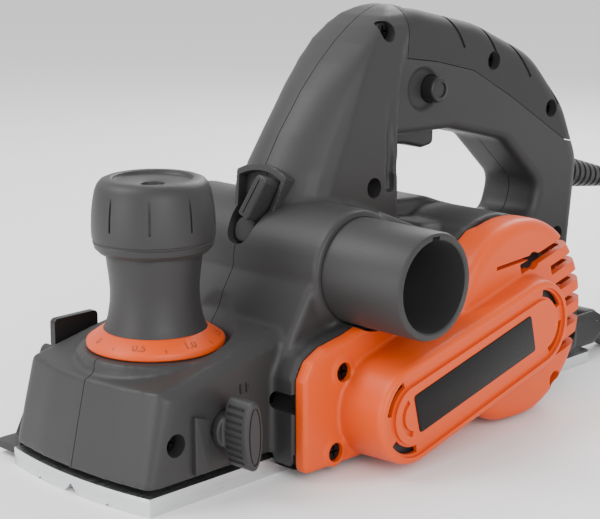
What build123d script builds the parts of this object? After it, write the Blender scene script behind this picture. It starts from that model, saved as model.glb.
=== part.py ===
"""Electric hand planer, 82 mm wide, with a belt-driven cutter drum.

Frame, in mm: +X to the front knob, +Y to the belt cover, +Z up.  The origin is on the
sole plane, in the middle of the rear shoe's edge at the mouth.
"""
from build123d import *
import os
from math import atan2, cos, degrees, hypot, pi, radians, sin, tan

os.makedirs("parts", exist_ok=True)

# ---- driving dimensions ----
sole_width = 82.0
half = sole_width / 2
rear_length = 165.3
rear_shoe_thick = 5.4
front_reach = 113.2
front_bulge = 4.2
front_shoe_thick = 7.1
mouth_front = 21.0
plane_depth = 2.0

drum_x, drum_z = 10.0, 24.0
cut_radius = 24.0
drum_radius = 22.4
shaft_radius = 6.0
motor_x, motor_z = -70.3, 43.7
motor_case_radius = 44.0
motor_shaft_radius = 4.0

tube_x, tube_z = 7.3, 75.7
tube_radius = 21.3
tube_bore = 18.1
chip_bore = 16.6
tube_tip = half + 45.0

knob_x = 73.5
knob_top = 116.0
knob_radius = 24.0
ring_z = 50.2

wall = 3.0
cheek = half + 4.0
flange_y = half + 11.0
cover_y = half + 17.0
dome_y = half + 29.0
cover_face_y = half + 39.0
handle_half = 17.0
tower_half = 21.0

grip_skin = 2.5
foot_x, foot_z = -rear_length - 6.7, 16.0
foot_tip_x, foot_tip_z = foot_x - 19.0, 3.3
foot_low, foot_high = half - 16.0, half - 6.0
ear_thick = 2.6
foot_pin_radius = 2.0
cord_radius = 3.5

pulley_low, pulley_high = cheek + 2.5, cheek + 10.5
drum_pulley_radius = 14.0
motor_pulley_radius = 12.0
groove_count, groove_pitch, groove_depth = 4, 1.7, 1.0
belt_thick = 2.0
clip_z = 41.4
stop_travel = 14.0
nut_end = pulley_high + 5.0
bearing_end = cheek - 0.6
right_cap = 1.2
bearing_recess = half - 5.0

# ---- clearances ----
slip = 0.3
running = 0.05
side_gap = 0.2

# ---- sizes that follow ----
cheek_in = half + side_gap
drum_half = half - 0.4
shoe_top = front_shoe_thick + plane_depth + slip
body_low = front_shoe_thick + plane_depth + slip
belt_angle = degrees(atan2(motor_z - drum_z, motor_x - drum_x))
belt_span = hypot(motor_z - drum_z, motor_x - drum_x)


def at_side(y):
    """Sketch plane across the planer at width y: local x is X, local y is Z, normal -Y."""
    return Plane.XZ.offset(-y)


def finish_piece(part, name):
    """Label one finished piece and write its STEP file."""
    part.label = name
    export_step(part, f"parts/{name}.step")


def y_rod(x, z, radius, low, high, bore=0.0):
    """A round piece along Y, with an optional bore."""
    with BuildPart(mode=Mode.PRIVATE) as rod:
        with BuildSketch(at_side(low)):
            with Locations((x, z)):
                Circle(radius)
                if bore:
                    Circle(bore, mode=Mode.SUBTRACT)
        extrude(amount=-(high - low))
    return rod.part


def y_slab(outline, low, high):
    """A closed outline in X and Z, made solid from one width to another."""
    with BuildPart(mode=Mode.PRIVATE) as slab:
        with BuildSketch(at_side(low)):
            add(outline)
        extrude(amount=-(high - low))
    return slab.part


def polygon(points, radii=None):
    """A closed outline in local X and Z; radii rounds its corners, one for each point."""
    with BuildSketch(mode=Mode.PRIVATE) as face:
        with BuildLine():
            if radii:
                FilletPolyline(*points, radius=radii, close=True)
            else:
                Polyline(*points, close=True)
        make_face()
    return face.sketch


# ---- shoes ----
with BuildPart() as rear_shoe:
    with BuildSketch(at_side(-half)):
        with BuildLine():
            Polyline(
                (0, 0), (-rear_length, 0), (-rear_length, rear_shoe_thick), (-8, rear_shoe_thick), close=True
            )
        make_face()
    extrude(amount=-sole_width)
    rear_corners = rear_shoe.edges().filter_by(Axis.Z).group_by(Axis.X)[0]
    fillet(rear_corners, radius=5)
    shoe_screw_spots = [(x, side * (half - 9)) for x in (-28, -140) for side in (-1, 1)]
    with Locations(*[Location((x, y, 0), (180, 0, 0)) for x, y in shoe_screw_spots]):
        CounterSinkHole(radius=2.2, counter_sink_radius=4.2, depth=rear_shoe_thick)
finish_piece(rear_shoe.part, "rear_shoe")

shoe_post = 15.0
post_top = 27.0
spindle_radius = 5.0
with BuildPart() as front_shoe:
    with BuildSketch(Plane.XY):
        with BuildLine():
            Polyline((front_reach, half), (mouth_front, half), (mouth_front, -half), (front_reach, -half))
            ThreePointArc(
                (front_reach, -half), (front_reach + front_bulge, 0), (front_reach, half)
            )
        make_face()
    extrude(amount=front_shoe_thick)
    with BuildSketch(at_side(-half)):
        Polygon(
            (mouth_front, 0), (mouth_front + 12, front_shoe_thick), (mouth_front - 1, front_shoe_thick),
            (mouth_front - 1, 0), align=None,
        )
    extrude(amount=-sole_width, mode=Mode.SUBTRACT)
    with BuildSketch(Plane.YZ.offset(mouth_front - 1)):
        for y, depth in ((0, 4.0), (-20.5, 1.2), (20.5, 1.2)):
            Polygon((y - depth, 0), (y + depth, 0), (y, depth), align=None)
    extrude(amount=front_reach + front_bulge, mode=Mode.SUBTRACT)
    with BuildSketch(Plane.XY.offset(front_shoe_thick)):
        with Locations((knob_x, 0)):
            Circle(shoe_post)
    extrude(amount=post_top - front_shoe_thick)
    with BuildSketch(Plane.XY.offset(post_top)):
        with Locations((knob_x, 0)):
            Circle(spindle_radius + running)
    extrude(amount=-(post_top - front_shoe_thick), mode=Mode.SUBTRACT)
finish_piece(front_shoe.part, "front_shoe")

with BuildPart() as shoe_screws:
    for x, y in shoe_screw_spots:
        with BuildSketch(Plane.XY.offset(0.2)):
            with Locations((x, y)):
                Circle(3.9)
        with BuildSketch(Plane.XY.offset(2.0)):
            with Locations((x, y)):
                Circle(2.1)
        loft()
        with BuildSketch(Plane.XY.offset(2.0)):
            with Locations((x, y)):
                Circle(2.1)
        extrude(amount=13.0)
        with BuildSketch(Plane.XY.offset(0.2)):
            with Locations((x, y)):
                Rectangle(4.4, 0.9)
                Rectangle(0.9, 4.4)
        extrude(amount=1.0, mode=Mode.SUBTRACT)
finish_piece(shoe_screws.part, "shoe_screws")

# ---- outlines of the housing, in X and Z ----
nose = polygon(
    [(front_reach + front_bulge, body_low), (109, 43.5), (44, 56.8), (31, 61.5), (20, 66), (20, body_low)],
    [1, 4, 6, 1, 1, 1],
)
hood = polygon(
    [(46, 4.5), (46, 50), (42.3, 57), (25.5, 83.2), (17.1, 96.9), (8, 98.7), (-12, 98.7), (-40, 84), (-40, 4.5)]
)
tail_x = -rear_length + 10.3
tail = polygon([(-40, 6), (tail_x, 6), (tail_x, 26), (tail_x + 5, 36), (-124, 62), (-100, 80), (-40, 86)])
grip_outline = polygon(
    [
        (31, 58), (24, 82), (14, 113), (-12, 146), (-35, 171), (-56, 176), (-106, 163.5), (-146, 146.5),
        (-172, 121), (-185, 94), (-178, 34), (-150, 24), (20, 40),
    ],
    [2, 30, 40, 60, 18, 24, 60, 50, 40, 20, 10, 4, 4],
)
hand_hole = polygon(
    [
        (-44, 119), (-86, 118), (-124, 109), (-151, 85), (-146, 69), (-110, 76.5), (-72, 90), (-42, 92),
    ],
    [5, 14, 14, 8, 8, 20, 20, 5],
)
flange_front = polygon(
    [(50, 3.4), (50, 41), (46, 48), (38, 52), (24, 54.4), (-32, 72), (-52, 84), (motor_x, 86), (motor_x, 3.4)],
    [4, 3, 3, 3, 3, 4, 4, 1, 1],
)
floor_gap = 3.0


grip_inner = offset(grip_outline, amount=-wall)
grip_tight = offset(grip_outline, amount=-0.6)
hand_hole_wall = offset(hand_hole, amount=wall)


def flange_outline(inset=0.0):
    """The outline that the housing's belt flange and the belt cover share."""
    with BuildSketch(mode=Mode.PRIVATE) as face:
        add(flange_front)
        with Locations((motor_x, motor_z)):
            Circle(motor_case_radius)
        with Locations((tube_x, tube_z)):
            Circle(tube_radius + 1.2, mode=Mode.SUBTRACT)
        with Locations((motor_x, floor_gap - 10)):
            Rectangle(2 * motor_case_radius, 20, mode=Mode.SUBTRACT)
        if inset:
            offset(amount=-inset, kind=Kind.INTERSECTION)
    return face.sketch


ear_outline = polygon(
    [
        (foot_x + 22, 6.5), (foot_x, 6.5), (foot_x - 7, 12), (foot_x - 7, 19), (foot_x, 23), (foot_x + 22, 23),
    ]
)


def body_envelope():
    """The whole outside of the two housing halves, before the inside is taken out."""
    with BuildPart(mode=Mode.PRIVATE) as grip:
        with BuildSketch(at_side(-handle_half)):
            add(grip_outline)
            add(hand_hole, mode=Mode.SUBTRACT)
        extrude(amount=-2 * handle_half)
        fillet(grip.faces().sort_by(Axis.Y)[0].outer_wire().edges(), radius=7)
        fillet(grip.faces().sort_by(Axis.Y)[-1].outer_wire().edges(), radius=7)
    with BuildPart(mode=Mode.PRIVATE) as whole:
        with BuildSketch(at_side(-half)):
            add(nose)
        extrude(amount=-sole_width)
        with BuildSketch(Plane.XY):
            with BuildLine():
                Polyline((front_reach, half), (0, half), (0, -half), (front_reach, -half))
                ThreePointArc(
                    (front_reach, -half), (front_reach + front_bulge, 0), (front_reach, half)
                )
            make_face()
        extrude(amount=knob_top, mode=Mode.INTERSECT)
        with BuildSketch(Plane.XY.offset(40)):
            with Locations((knob_x, 0)):
                Circle(30)
        extrude(amount=ring_z - 40 - slip)
        add(y_slab(hood, -cheek, cheek))
        add(y_slab(tail, -half, half))
        add(y_rod(motor_x, motor_z, motor_case_radius, -half, cheek))
        add(grip.part)
        add(y_slab(tower_outline, -tower_half, tower_half))
        add(y_slab(flange_outline(), half, flange_y))
        for low in (foot_low - slip - ear_thick, foot_high + slip):
            add(y_slab(ear_outline, low, low + ear_thick))
    return whole.part


with BuildSketch(mode=Mode.PRIVATE) as tower_face:
    add(grip_tight)
    with Locations((8, 110)):
        Rectangle(104, 160, mode=Mode.INTERSECT)
tower_outline = tower_face.sketch


def body_inside():
    """The room inside the two halves: the chip way, the motor room, the handle and the nose."""
    with BuildPart(mode=Mode.PRIVATE) as room:
        add(y_rod(drum_x, drum_z, cut_radius + 2.5, -cheek_in, cheek_in))
        add(
            y_slab(
                polygon([(36.5, 20), (36.5, 51), (24, 76), (-8, 76), (-8, 44), (10, 44), (26, 24)]),
                -cheek_in + 1.5, cheek_in - 1.5,
            )
        )
        add(y_rod(tube_x, tube_z, chip_bore, -cheek_in, cheek_in))
        add(y_rod(motor_x, motor_z, motor_case_radius - wall, -half + wall, half - wall))
        add(
            y_slab(
                polygon([(-100, 9), (-152, 9), (-152, 24), (-147, 34), (-122, 58), (-100, 60)]),
                -half + wall, half - wall,
            )
        )
        with BuildSketch(at_side(-handle_half + wall + 0.5)):
            add(grip_inner)
            add(hand_hole_wall, mode=Mode.SUBTRACT)
            with Locations((12, 52)):
                Rectangle(100, 100, mode=Mode.SUBTRACT)
        extrude(amount=-2 * (handle_half - wall - 0.5))
        add(
            y_slab(
                polygon([(106, 0), (101, 41.6), (48, 46.5), (48, 0)]), -half + wall + 9, half - wall - 9,
            )
        )
        add(y_slab(flange_outline(wall), cheek, flange_y + 1))
    return room.part


screw_posts = [(-42.4, 164), (-26.4, 101), (-114, 146), (-158.5, 120), (-166, 58), (-146, 17)]
nose_posts = [(100, 24.5), (47.5, 30.9)]
post_radius = 4.6
screw_radius = 2.0

lock_x, lock_z, lock_radius = -71.0, 137.5, 5.7
lock_travel = 4.0
lock_tip = 22.0
trigger_half = 8.0
trigger_front, trigger_rear = -46.0, -84.5
trigger_room = 5.0
trigger_pin_x, trigger_pin_z = -50.0, 127.0
pin_radius = 1.5
guard_x, guard_z = -185.0, 85.0
guard_tilt = 12.0
guard_length = 45.0
fence_x, fence_z = 75.5, 25.7
stop_x, stop_z = 82.0, 26.0
stud_radius = 3.0
nose_wall = 12.0
head_radius = 3.6
head_seat = 11.0
nose_seat = 34.0
nose_head = 4.4
bearing_radius = 11.0
bearing_width = 7.0

lever_x, lever_z = 22.2, 87.0
lever_lean = 72.0
lever_plane = Plane(
    origin=(lever_x, 0, lever_z),
    x_dir=(0, 1, 0),
    z_dir=(sin(radians(lever_lean)), 0, cos(radians(lever_lean))),
)
cord_plane = Plane(
    origin=(guard_x, 0, guard_z),
    x_dir=(0, 1, 0),
    z_dir=(-cos(radians(guard_tilt)), 0, -sin(radians(guard_tilt))),
)
cover_screw_spots = [(28.5, 40.8, 0.0), (32.9, 9.2, 0.0), (-76.4, 69.2, 6.0), (-94.9, 12.7, 6.0)]


def common_cuts():
    """What both halves are cut by: shoes, screws, spindle, trigger slot and cord entry."""
    with BuildPart(mode=Mode.PRIVATE) as cuts:
        with BuildSketch(Plane.XY.offset(-5)):
            with Locations((mouth_front / 2 + 55, 0)):
                Rectangle(mouth_front + 110, 2 * cheek_in)
        extrude(amount=5 + shoe_top)
        with BuildSketch(Plane.XY.offset(-5)):
            with Locations((-rear_length / 2, 0)):
                Rectangle(rear_length + 10, 2 * cheek_in)
        extrude(amount=5 + rear_shoe_thick)
        with BuildSketch(Plane.XY):
            with Locations((knob_x, 0)):
                Circle(spindle_radius + slip)
        extrude(amount=60)
        with BuildSketch(Plane.XY.offset(104)):
            with Locations(((trigger_front + trigger_rear - trigger_room) / 2, 0)):
                Rectangle(trigger_front - trigger_rear + trigger_room, 2 * trigger_half + 1.0)
        extrude(amount=19)
        with BuildSketch(cord_plane.offset(-8)):
            Circle(6.2)
        extrude(amount=30)
        with BuildSketch(cord_plane.offset(-20)):
            Circle(9.0)
        extrude(amount=16.5)
        with BuildSketch(lever_plane.offset(-16)):
            Circle(2.6)
        extrude(amount=30)
        with BuildSketch(lever_plane):
            Circle(6.4)
            with BuildLine():
                Line((0, -3), (-15, 22))
                ThreePointArc((-15, 22), (0, 27), (15, 22))
                Line((15, 22), (0, -3))
            make_face()
        extrude(amount=14)
        with BuildSketch(Plane.XY.offset(ring_z - slip)):
            with Locations((knob_x, 0)):
                Circle(28.2)
        extrude(amount=20)
        add(y_rod(foot_x, foot_z, foot_pin_radius, foot_low - 6, foot_high + 6))
        with BuildSketch(Plane.XY.offset(floor_gap)):
            with Locations((motor_x, half + 8)):
                Rectangle(2 * motor_case_radius, 18)
        extrude(amount=-10)
        for x, y in shoe_screw_spots:
            with BuildSketch(Plane.XY.offset(0)):
                with Locations((x, y)):
                    Circle(2.1)
            extrude(amount=15.0)
    return cuts.part


def shell_half(kept, side):
    """One half of the housing, from the middle plane out to its own side."""
    with BuildPart(mode=Mode.PRIVATE) as piece:
        add(shell)
        split(bisect_by=Plane.XZ, keep=kept)
    with BuildPart(mode=Mode.PRIVATE) as room:
        add(inside)
        split(bisect_by=Plane.XZ, keep=kept)
    low, high = sorted((0.0, side * (handle_half - 1)))
    with BuildPart(mode=Mode.PRIVATE) as result:
        add(piece.part)
        add(room.part, mode=Mode.SUBTRACT)
        for x, z in screw_posts:
            add(y_rod(x, z, post_radius + 1.5, low, high))
        add(cuts, mode=Mode.SUBTRACT)
    return result.part


shell = body_envelope()
inside = body_inside()
cuts = common_cuts()
with BuildSketch(mode=Mode.PRIVATE) as grip_band:
    add(grip_outline)
    add(offset(grip_outline, amount=-grip_skin, mode=Mode.PRIVATE), mode=Mode.SUBTRACT)
    with Locations((-110, 150)):
        Rectangle(100, 90, mode=Mode.INTERSECT)
grip_region = y_slab(grip_band.sketch, -handle_half - 1, handle_half + 1)

with BuildPart() as housing_left:
    add(shell_half(Keep.BOTTOM, 1))
    for x, z, _ in cover_screw_spots:
        add(y_rod(x, z, 4.5, cheek - 1, flange_y))
    for x, z, _ in cover_screw_spots:
        add(y_rod(x, z, 1.6, cheek + 1, flange_y + 1), mode=Mode.SUBTRACT)
    add(y_rod(tube_x, tube_z, tube_radius + 0.2, cheek - 6, cover_y), mode=Mode.SUBTRACT)
    add(y_rod(drum_x, drum_z, bearing_radius, cheek_in - 1, cheek + 1), mode=Mode.SUBTRACT)
    add(y_rod(motor_x, motor_z, bearing_radius, half - wall - 1, cheek + 1), mode=Mode.SUBTRACT)
    for x, z in screw_posts:
        add(y_rod(x, z, screw_radius, -1, head_seat + 1), mode=Mode.SUBTRACT)
        add(y_rod(x, z, head_radius + 0.4, head_seat, flange_y), mode=Mode.SUBTRACT)
    for x, z in nose_posts:
        add(y_rod(x, z, screw_radius, -1, nose_seat + 1), mode=Mode.SUBTRACT)
        add(y_rod(x, z, nose_head, nose_seat, cheek + 2), mode=Mode.SUBTRACT)
    add(y_rod(lock_x, lock_z, lock_radius + 0.1, 5, handle_half + 3), mode=Mode.SUBTRACT)
    add(y_rod(fence_x, fence_z, stud_radius + running, half - nose_wall - 1, half + 1), mode=Mode.SUBTRACT)
    add(grip_region, mode=Mode.SUBTRACT)
finish_piece(housing_left.part, "housing_left")

with BuildPart() as housing_right:
    add(shell_half(Keep.TOP, -1))
    add(y_rod(tube_x, tube_z, tube_bore, -cheek - 1, -cheek_in + 1.5), mode=Mode.SUBTRACT)
    add(y_rod(drum_x, drum_z, bearing_radius, -cheek + right_cap, -cheek_in + 1), mode=Mode.SUBTRACT)
    add(y_rod(motor_x, motor_z, bearing_radius, -half + wall - 1, -half + wall + 1), mode=Mode.SUBTRACT)
    for x, z in screw_posts:
        add(y_rod(x, z, screw_radius, -handle_half + 4, 1), mode=Mode.SUBTRACT)
    for x, z in nose_posts:
        add(y_rod(x, z, screw_radius, -half + 6, 1), mode=Mode.SUBTRACT)
    add(y_rod(stop_x, stop_z, stud_radius + running, -half - 1, -half + nose_wall + 1), mode=Mode.SUBTRACT)
    add(grip_region, mode=Mode.SUBTRACT)
finish_piece(housing_right.part, "housing_right")

with BuildPart() as soft_grip:
    add(shell)
    add(grip_region, mode=Mode.INTERSECT)
finish_piece(soft_grip.part, "soft_grip")

with BuildPart() as housing_screws:
    for x, z in screw_posts:
        add(y_rod(x, z, screw_radius, -handle_half + 4, head_seat))
        add(y_rod(x, z, head_radius, head_seat, head_seat + 2.4))
    for x, z in nose_posts:
        add(y_rod(x, z, screw_radius, -half + 6, nose_seat))
        add(y_rod(x, z, head_radius, nose_seat, nose_seat + 2.4))
    for x, z, y in [(x, z, head_seat) for x, z in screw_posts] + [(x, z, nose_seat) for x, z in nose_posts]:
        with BuildSketch(at_side(y + 1.2)):
            with Locations((x, z)):
                Rectangle(4.6, 1.0)
                Rectangle(1.0, 4.6)
        extrude(amount=-3, mode=Mode.SUBTRACT)
finish_piece(housing_screws.part, "housing_screws")

# ---- cutter drum ----
blade_turn = 24.0
blade_half = half - 0.1
blade_tip, blade_heel = (23.95, 0.0), (19.55, -3.3)
blade_tip_top, blade_heel_top = (23.29, 0.88), (18.89, -2.42)
drum_ends = (blade_turn, blade_turn + 180.0)
clamp_screw_rows = (11.0 - half, 0.0, half - 11.0)


def drum_plane(turn, y=-100.0):
    """Sketch plane across the drum, turned about its axis."""
    x_dir = (cos(radians(turn)), 0, sin(radians(turn)))
    return Plane(origin=(drum_x, y, drum_z), x_dir=x_dir, z_dir=(0, -1, 0))


def drum_bar(points, turn, half_length):
    """A bar along the drum from an outline in its turned plane."""
    with BuildPart(mode=Mode.PRIVATE) as bar:
        with BuildSketch(drum_plane(turn, -half_length)):
            Polygon(*points, align=None)
        extrude(amount=-2 * half_length)
    return bar.part


def clamp_screw_set():
    """The screws that hold both blade clamps."""
    with BuildPart(mode=Mode.PRIVATE) as screws:
        for turn in drum_ends:
            for y in clamp_screw_rows:
                seat = drum_plane(turn, y)
                out = seat.x_dir
                base = seat.origin + seat.y_dir * 2.4
                with BuildSketch(Plane(origin=base + out * 12.0, x_dir=(0, 1, 0), z_dir=out)):
                    Circle(1.6)
                extrude(amount=7.0)
                with BuildSketch(Plane(origin=base + out * 19.0, x_dir=(0, 1, 0), z_dir=out)):
                    Circle(2.6)
                extrude(amount=2.0)
    return screws.part


clamp_screw_shape = clamp_screw_set()
with BuildPart() as cutter_drum:
    add(y_rod(drum_x, drum_z, drum_radius, -drum_half, drum_half, shaft_radius))
    for turn in drum_ends:
        pocket = [(25.15, 0.9), blade_heel, (16.5, -1.0), (16.5, 5.5), (24.2, 9.5)]
        add(drum_bar(pocket, turn, half), mode=Mode.SUBTRACT)
    for low, high in ((-half, -bearing_recess), (bearing_recess, half)):
        add(y_rod(drum_x, drum_z, bearing_radius + 2, low, high), mode=Mode.SUBTRACT)
    add(clamp_screw_shape, mode=Mode.SUBTRACT)
    with BuildSketch(at_side(-drum_half)):
        with Locations((drum_x, drum_z)):
            with PolarLocations(14.5, 2, start_angle=blade_turn + 90):
                Circle(3.2)
    extrude(amount=-2 * drum_half, mode=Mode.SUBTRACT)
finish_piece(cutter_drum.part, "cutter_drum")

with BuildPart() as blades:
    for turn in drum_ends:
        add(drum_bar([blade_tip, blade_heel, blade_heel_top, blade_tip_top], turn, blade_half))
finish_piece(blades.part, "blades")

with BuildPart() as blade_clamps:
    for turn in drum_ends:
        clamp = [blade_heel_top, (22.41, 0.22), (21.2, 3.8), (17.2, 4.2), (17.2, -1.0)]
        add(drum_bar(clamp, turn, drum_half - 1))
    add(clamp_screw_shape, mode=Mode.SUBTRACT)
finish_piece(blade_clamps.part, "blade_clamps")
finish_piece(clamp_screw_shape, "clamp_screws")

drum_shaft = y_rod(drum_x, drum_z, shaft_radius, -cheek + right_cap + slip, nut_end)
finish_piece(drum_shaft, "drum_shaft")

with BuildPart() as drum_bearings:
    low = -cheek + right_cap
    add(y_rod(drum_x, drum_z, bearing_radius, low, low + bearing_width, shaft_radius + running))
    add(y_rod(drum_x, drum_z, bearing_radius, bearing_end - bearing_width, bearing_end, shaft_radius + running))
finish_piece(drum_bearings.part, "drum_bearings")


def pulley(x, z, radius, bore):
    """A belt pulley with grooves round its rim and a thin flange on its inner side."""
    with BuildPart(mode=Mode.PRIVATE) as wheel:
        add(y_rod(x, z, radius, pulley_low, pulley_high))
        for step in range(groove_count):
            y = pulley_low + 1.0 + step * groove_pitch
            add(y_rod(x, z, radius + 1, y, y + groove_pitch / 2, radius - groove_depth), mode=Mode.SUBTRACT)
        add(y_rod(x, z, bore, pulley_low - 1, pulley_high + 1), mode=Mode.SUBTRACT)
    return wheel.part


drum_pulley = pulley(drum_x, drum_z, drum_pulley_radius, shaft_radius)
finish_piece(drum_pulley, "drum_pulley")
motor_pulley = pulley(motor_x, motor_z, motor_pulley_radius, motor_shaft_radius)
finish_piece(motor_pulley, "motor_pulley")

with BuildPart() as pulley_nut:
    with BuildSketch(at_side(pulley_high)):
        with Locations((drum_x, drum_z)):
            RegularPolygon(9.0, 6)
            Circle(shaft_radius, mode=Mode.SUBTRACT)
    extrude(amount=-4)
finish_piece(pulley_nut.part, "pulley_nut")


def belt_loop(grow, low, high):
    """The shape of the belt's run round both pulleys, grown by a distance."""
    with BuildPart(mode=Mode.PRIVATE) as loop:
        with BuildSketch(at_side(low)):
            with Locations((drum_x, drum_z)):
                Circle(drum_pulley_radius + grow)
            with Locations((motor_x, motor_z)):
                Circle(motor_pulley_radius + grow)
            make_hull()
        extrude(amount=-(high - low))
    return loop.part


with BuildPart() as drive_belt:
    add(belt_loop(slip + belt_thick, pulley_low + 0.5, pulley_high - 0.5))
    add(belt_loop(slip, pulley_low, pulley_high), mode=Mode.SUBTRACT)
finish_piece(drive_belt.part, "drive_belt")

# ---- motor ----
core_radius, core_low, core_high = 17.0, 23.0 - half, half - 25.0
commutator_radius = 10.0
fan_radius = 30.0
with BuildPart() as motor_shaft:
    add(y_rod(motor_x, motor_z, motor_shaft_radius, -half + wall - 0.6, pulley_high + 1.5))
finish_piece(motor_shaft.part, "motor_shaft")

with BuildPart() as armature:
    add(y_rod(motor_x, motor_z, core_radius, core_low, core_high, motor_shaft_radius))
    with BuildSketch(at_side(core_low)):
        with Locations((motor_x, motor_z)):
            with PolarLocations(core_radius, 12):
                Rectangle(4, 1.6)
    extrude(amount=-(core_high - core_low), mode=Mode.SUBTRACT)
finish_piece(armature.part, "armature")

with BuildPart() as commutator:
    add(y_rod(motor_x, motor_z, commutator_radius, core_low - 12, core_low - 1, motor_shaft_radius))
finish_piece(commutator.part, "commutator")

with BuildPart() as fan:
    fan_y = core_high + 6
    add(y_rod(motor_x, motor_z, fan_radius, fan_y, fan_y + 2, motor_shaft_radius))
    add(y_rod(motor_x, motor_z, 8, fan_y + 2, fan_y + 12, motor_shaft_radius))
    with BuildSketch(at_side(fan_y + 2)):
        with Locations((motor_x, motor_z)):
            with PolarLocations(18, 12):
                Rectangle(21, 1.6)
    extrude(amount=-9)
finish_piece(fan.part, "fan")

with BuildPart() as field:
    with BuildSketch(at_side(core_low + 1)):
        with Locations((motor_x, motor_z)):
            Circle(33)
            Rectangle(100, 14)
            Circle(motor_case_radius - wall, mode=Mode.INTERSECT)
            Circle(core_radius + 0.6, mode=Mode.SUBTRACT)
    extrude(amount=-(core_high - core_low - 2))
finish_piece(field.part, "field")

with BuildPart() as motor_bearings:
    for low in (-half + wall - 1, half - wall):
        add(y_rod(motor_x, motor_z, bearing_radius, low, low + bearing_width, motor_shaft_radius + running))
finish_piece(motor_bearings.part, "motor_bearings")

brush_y = core_low - 6.5
with BuildPart() as brush_holders:
    for side in (-1, 1):
        with BuildSketch(Plane.XY.offset(motor_z + side * (commutator_radius + 2))):
            with Locations((motor_x, brush_y)):
                Rectangle(12, 9)
                Rectangle(8, 6, mode=Mode.SUBTRACT)
        extrude(amount=side * 22)
finish_piece(brush_holders.part, "brush_holders")

with BuildPart() as carbon_brushes:
    for side in (-1, 1):
        with BuildSketch(Plane.XY.offset(motor_z + side * (commutator_radius + slip))):
            with Locations((motor_x, brush_y)):
                Rectangle(8, 6)
        extrude(amount=side * 14)
finish_piece(carbon_brushes.part, "carbon_brushes")

# ---- belt cover ----
cover_wall = 2.5
cover_head = 3.0
vent_pitch, vent_count = 8.6, 6
belt_dir = (cos(radians(belt_angle)), 0, sin(radians(belt_angle)))
badge_centre = ((drum_x + motor_x) / 2, cover_face_y, (drum_z + motor_z) / 2)
slot_arcs = [
    (drum_x, drum_z, 14.8, 8), (drum_x, drum_z, 14.8, -98), (motor_x, motor_z, 13.8, 96), (motor_x, motor_z, 13.8, 194),
]
keep_clear = y_slab(
    flange_outline(cover_wall) + polygon([(-112, 5), (-40, 5), (-40, 90), (-112, 90)]), flange_y - 2, cover_face_y
)
vent_places = [
    Location(
        (motor_x - 46 - 2 * abs(row - 2.5), dome_y - 2, motor_z - 22 + row * vent_pitch), (0, 180 - belt_angle, 0)
    )
    for row in range(vent_count)
]
with BuildPart() as belt_cover:
    add(y_slab(flange_outline(), flange_y, cover_y))
    with BuildSketch(at_side(flange_y)):
        with Locations((motor_x, motor_z)):
            Circle(motor_case_radius)
        with Locations((tube_x, tube_z)):
            Circle(tube_radius + 1.2, mode=Mode.SUBTRACT)
        with Locations((motor_x, floor_gap - 10)):
            Rectangle(2 * motor_case_radius, 20, mode=Mode.SUBTRACT)
    extrude(amount=-(dome_y - flange_y))
    for y, front, rear in ((cover_y, 20.9, 22.5), (cover_face_y, 20.0, 19.0)):
        with BuildSketch(at_side(y)):
            with Locations((drum_x, drum_z)):
                Circle(front)
            with Locations((motor_x, motor_z)):
                Circle(rear)
            make_hull()
    loft()
    add(y_slab(flange_outline(cover_wall), flange_y - 1, cover_y - cover_wall), mode=Mode.SUBTRACT)
    add(
        y_rod(motor_x, motor_z, motor_case_radius - cover_wall, flange_y - 1, dome_y - cover_wall) & keep_clear,
        mode=Mode.SUBTRACT,
    )
    with BuildSketch(at_side(flange_y)):
        with Locations((drum_x, drum_z)):
            Circle(17.6)
        with Locations((motor_x, motor_z)):
            Circle(16.6)
        make_hull()
    extrude(amount=-(cover_face_y - cover_wall - flange_y), mode=Mode.SUBTRACT)
    for x, z, rise in cover_screw_spots:
        add(y_rod(x, z, 4.5, flange_y, dome_y - 1 if rise else cover_y))
    for x, z, rise in cover_screw_spots:
        add(y_rod(x, z, 1.8, flange_y - 1, dome_y + 1), mode=Mode.SUBTRACT)
        add(y_rod(x, z, 3.6, cover_y + rise - cover_head, dome_y + 1), mode=Mode.SUBTRACT)
    for x, z, radius, start in slot_arcs:
        with BuildSketch(at_side(cover_face_y + 1)):
            with Locations((x, z)):
                SlotArc(CenterArc((0, 0), radius, start, 62), 2.2)
        extrude(amount=cover_wall + 2, mode=Mode.SUBTRACT)
    with Locations(*vent_places):
        Box(40, 30, 4.2, mode=Mode.SUBTRACT)
finish_piece(belt_cover.part, "belt_cover")

with BuildPart() as cover_badge:
    with BuildSketch(Plane(origin=badge_centre, x_dir=belt_dir, z_dir=(0, 1, 0))):
        RectangleRounded(76, 15.5, 1.5)
    extrude(amount=0.8)
finish_piece(cover_badge.part, "cover_badge")

with BuildPart() as cover_screws:
    for x, z, rise in cover_screw_spots:
        head = cover_y + rise - cover_head
        add(y_rod(x, z, 1.6, cheek + 1.5, head))
        add(y_rod(x, z, 3.4, head, head + 2.2))
        with BuildSketch(at_side(head + 1.2)):
            with Locations((x, z)):
                Rectangle(4.2, 0.9)
                Rectangle(0.9, 4.2)
        extrude(amount=-3, mode=Mode.SUBTRACT)
finish_piece(cover_screws.part, "cover_screws")

# ---- dust tube ----
with BuildPart() as dust_tube:
    add(y_rod(tube_x, tube_z, tube_radius, cheek - 6, tube_tip, tube_bore))
    fillet(dust_tube.edges().filter_by(GeomType.CIRCLE).sort_by(Axis.Y)[-1], radius=0.8)
    with BuildSketch(Plane.XY.offset(tube_z + tube_bore - 1)):
        with Locations((tube_x, tube_tip)):
            Rectangle(4, 8)
    extrude(amount=2.2, mode=Mode.SUBTRACT)
finish_piece(dust_tube.part, "dust_tube")

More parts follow.
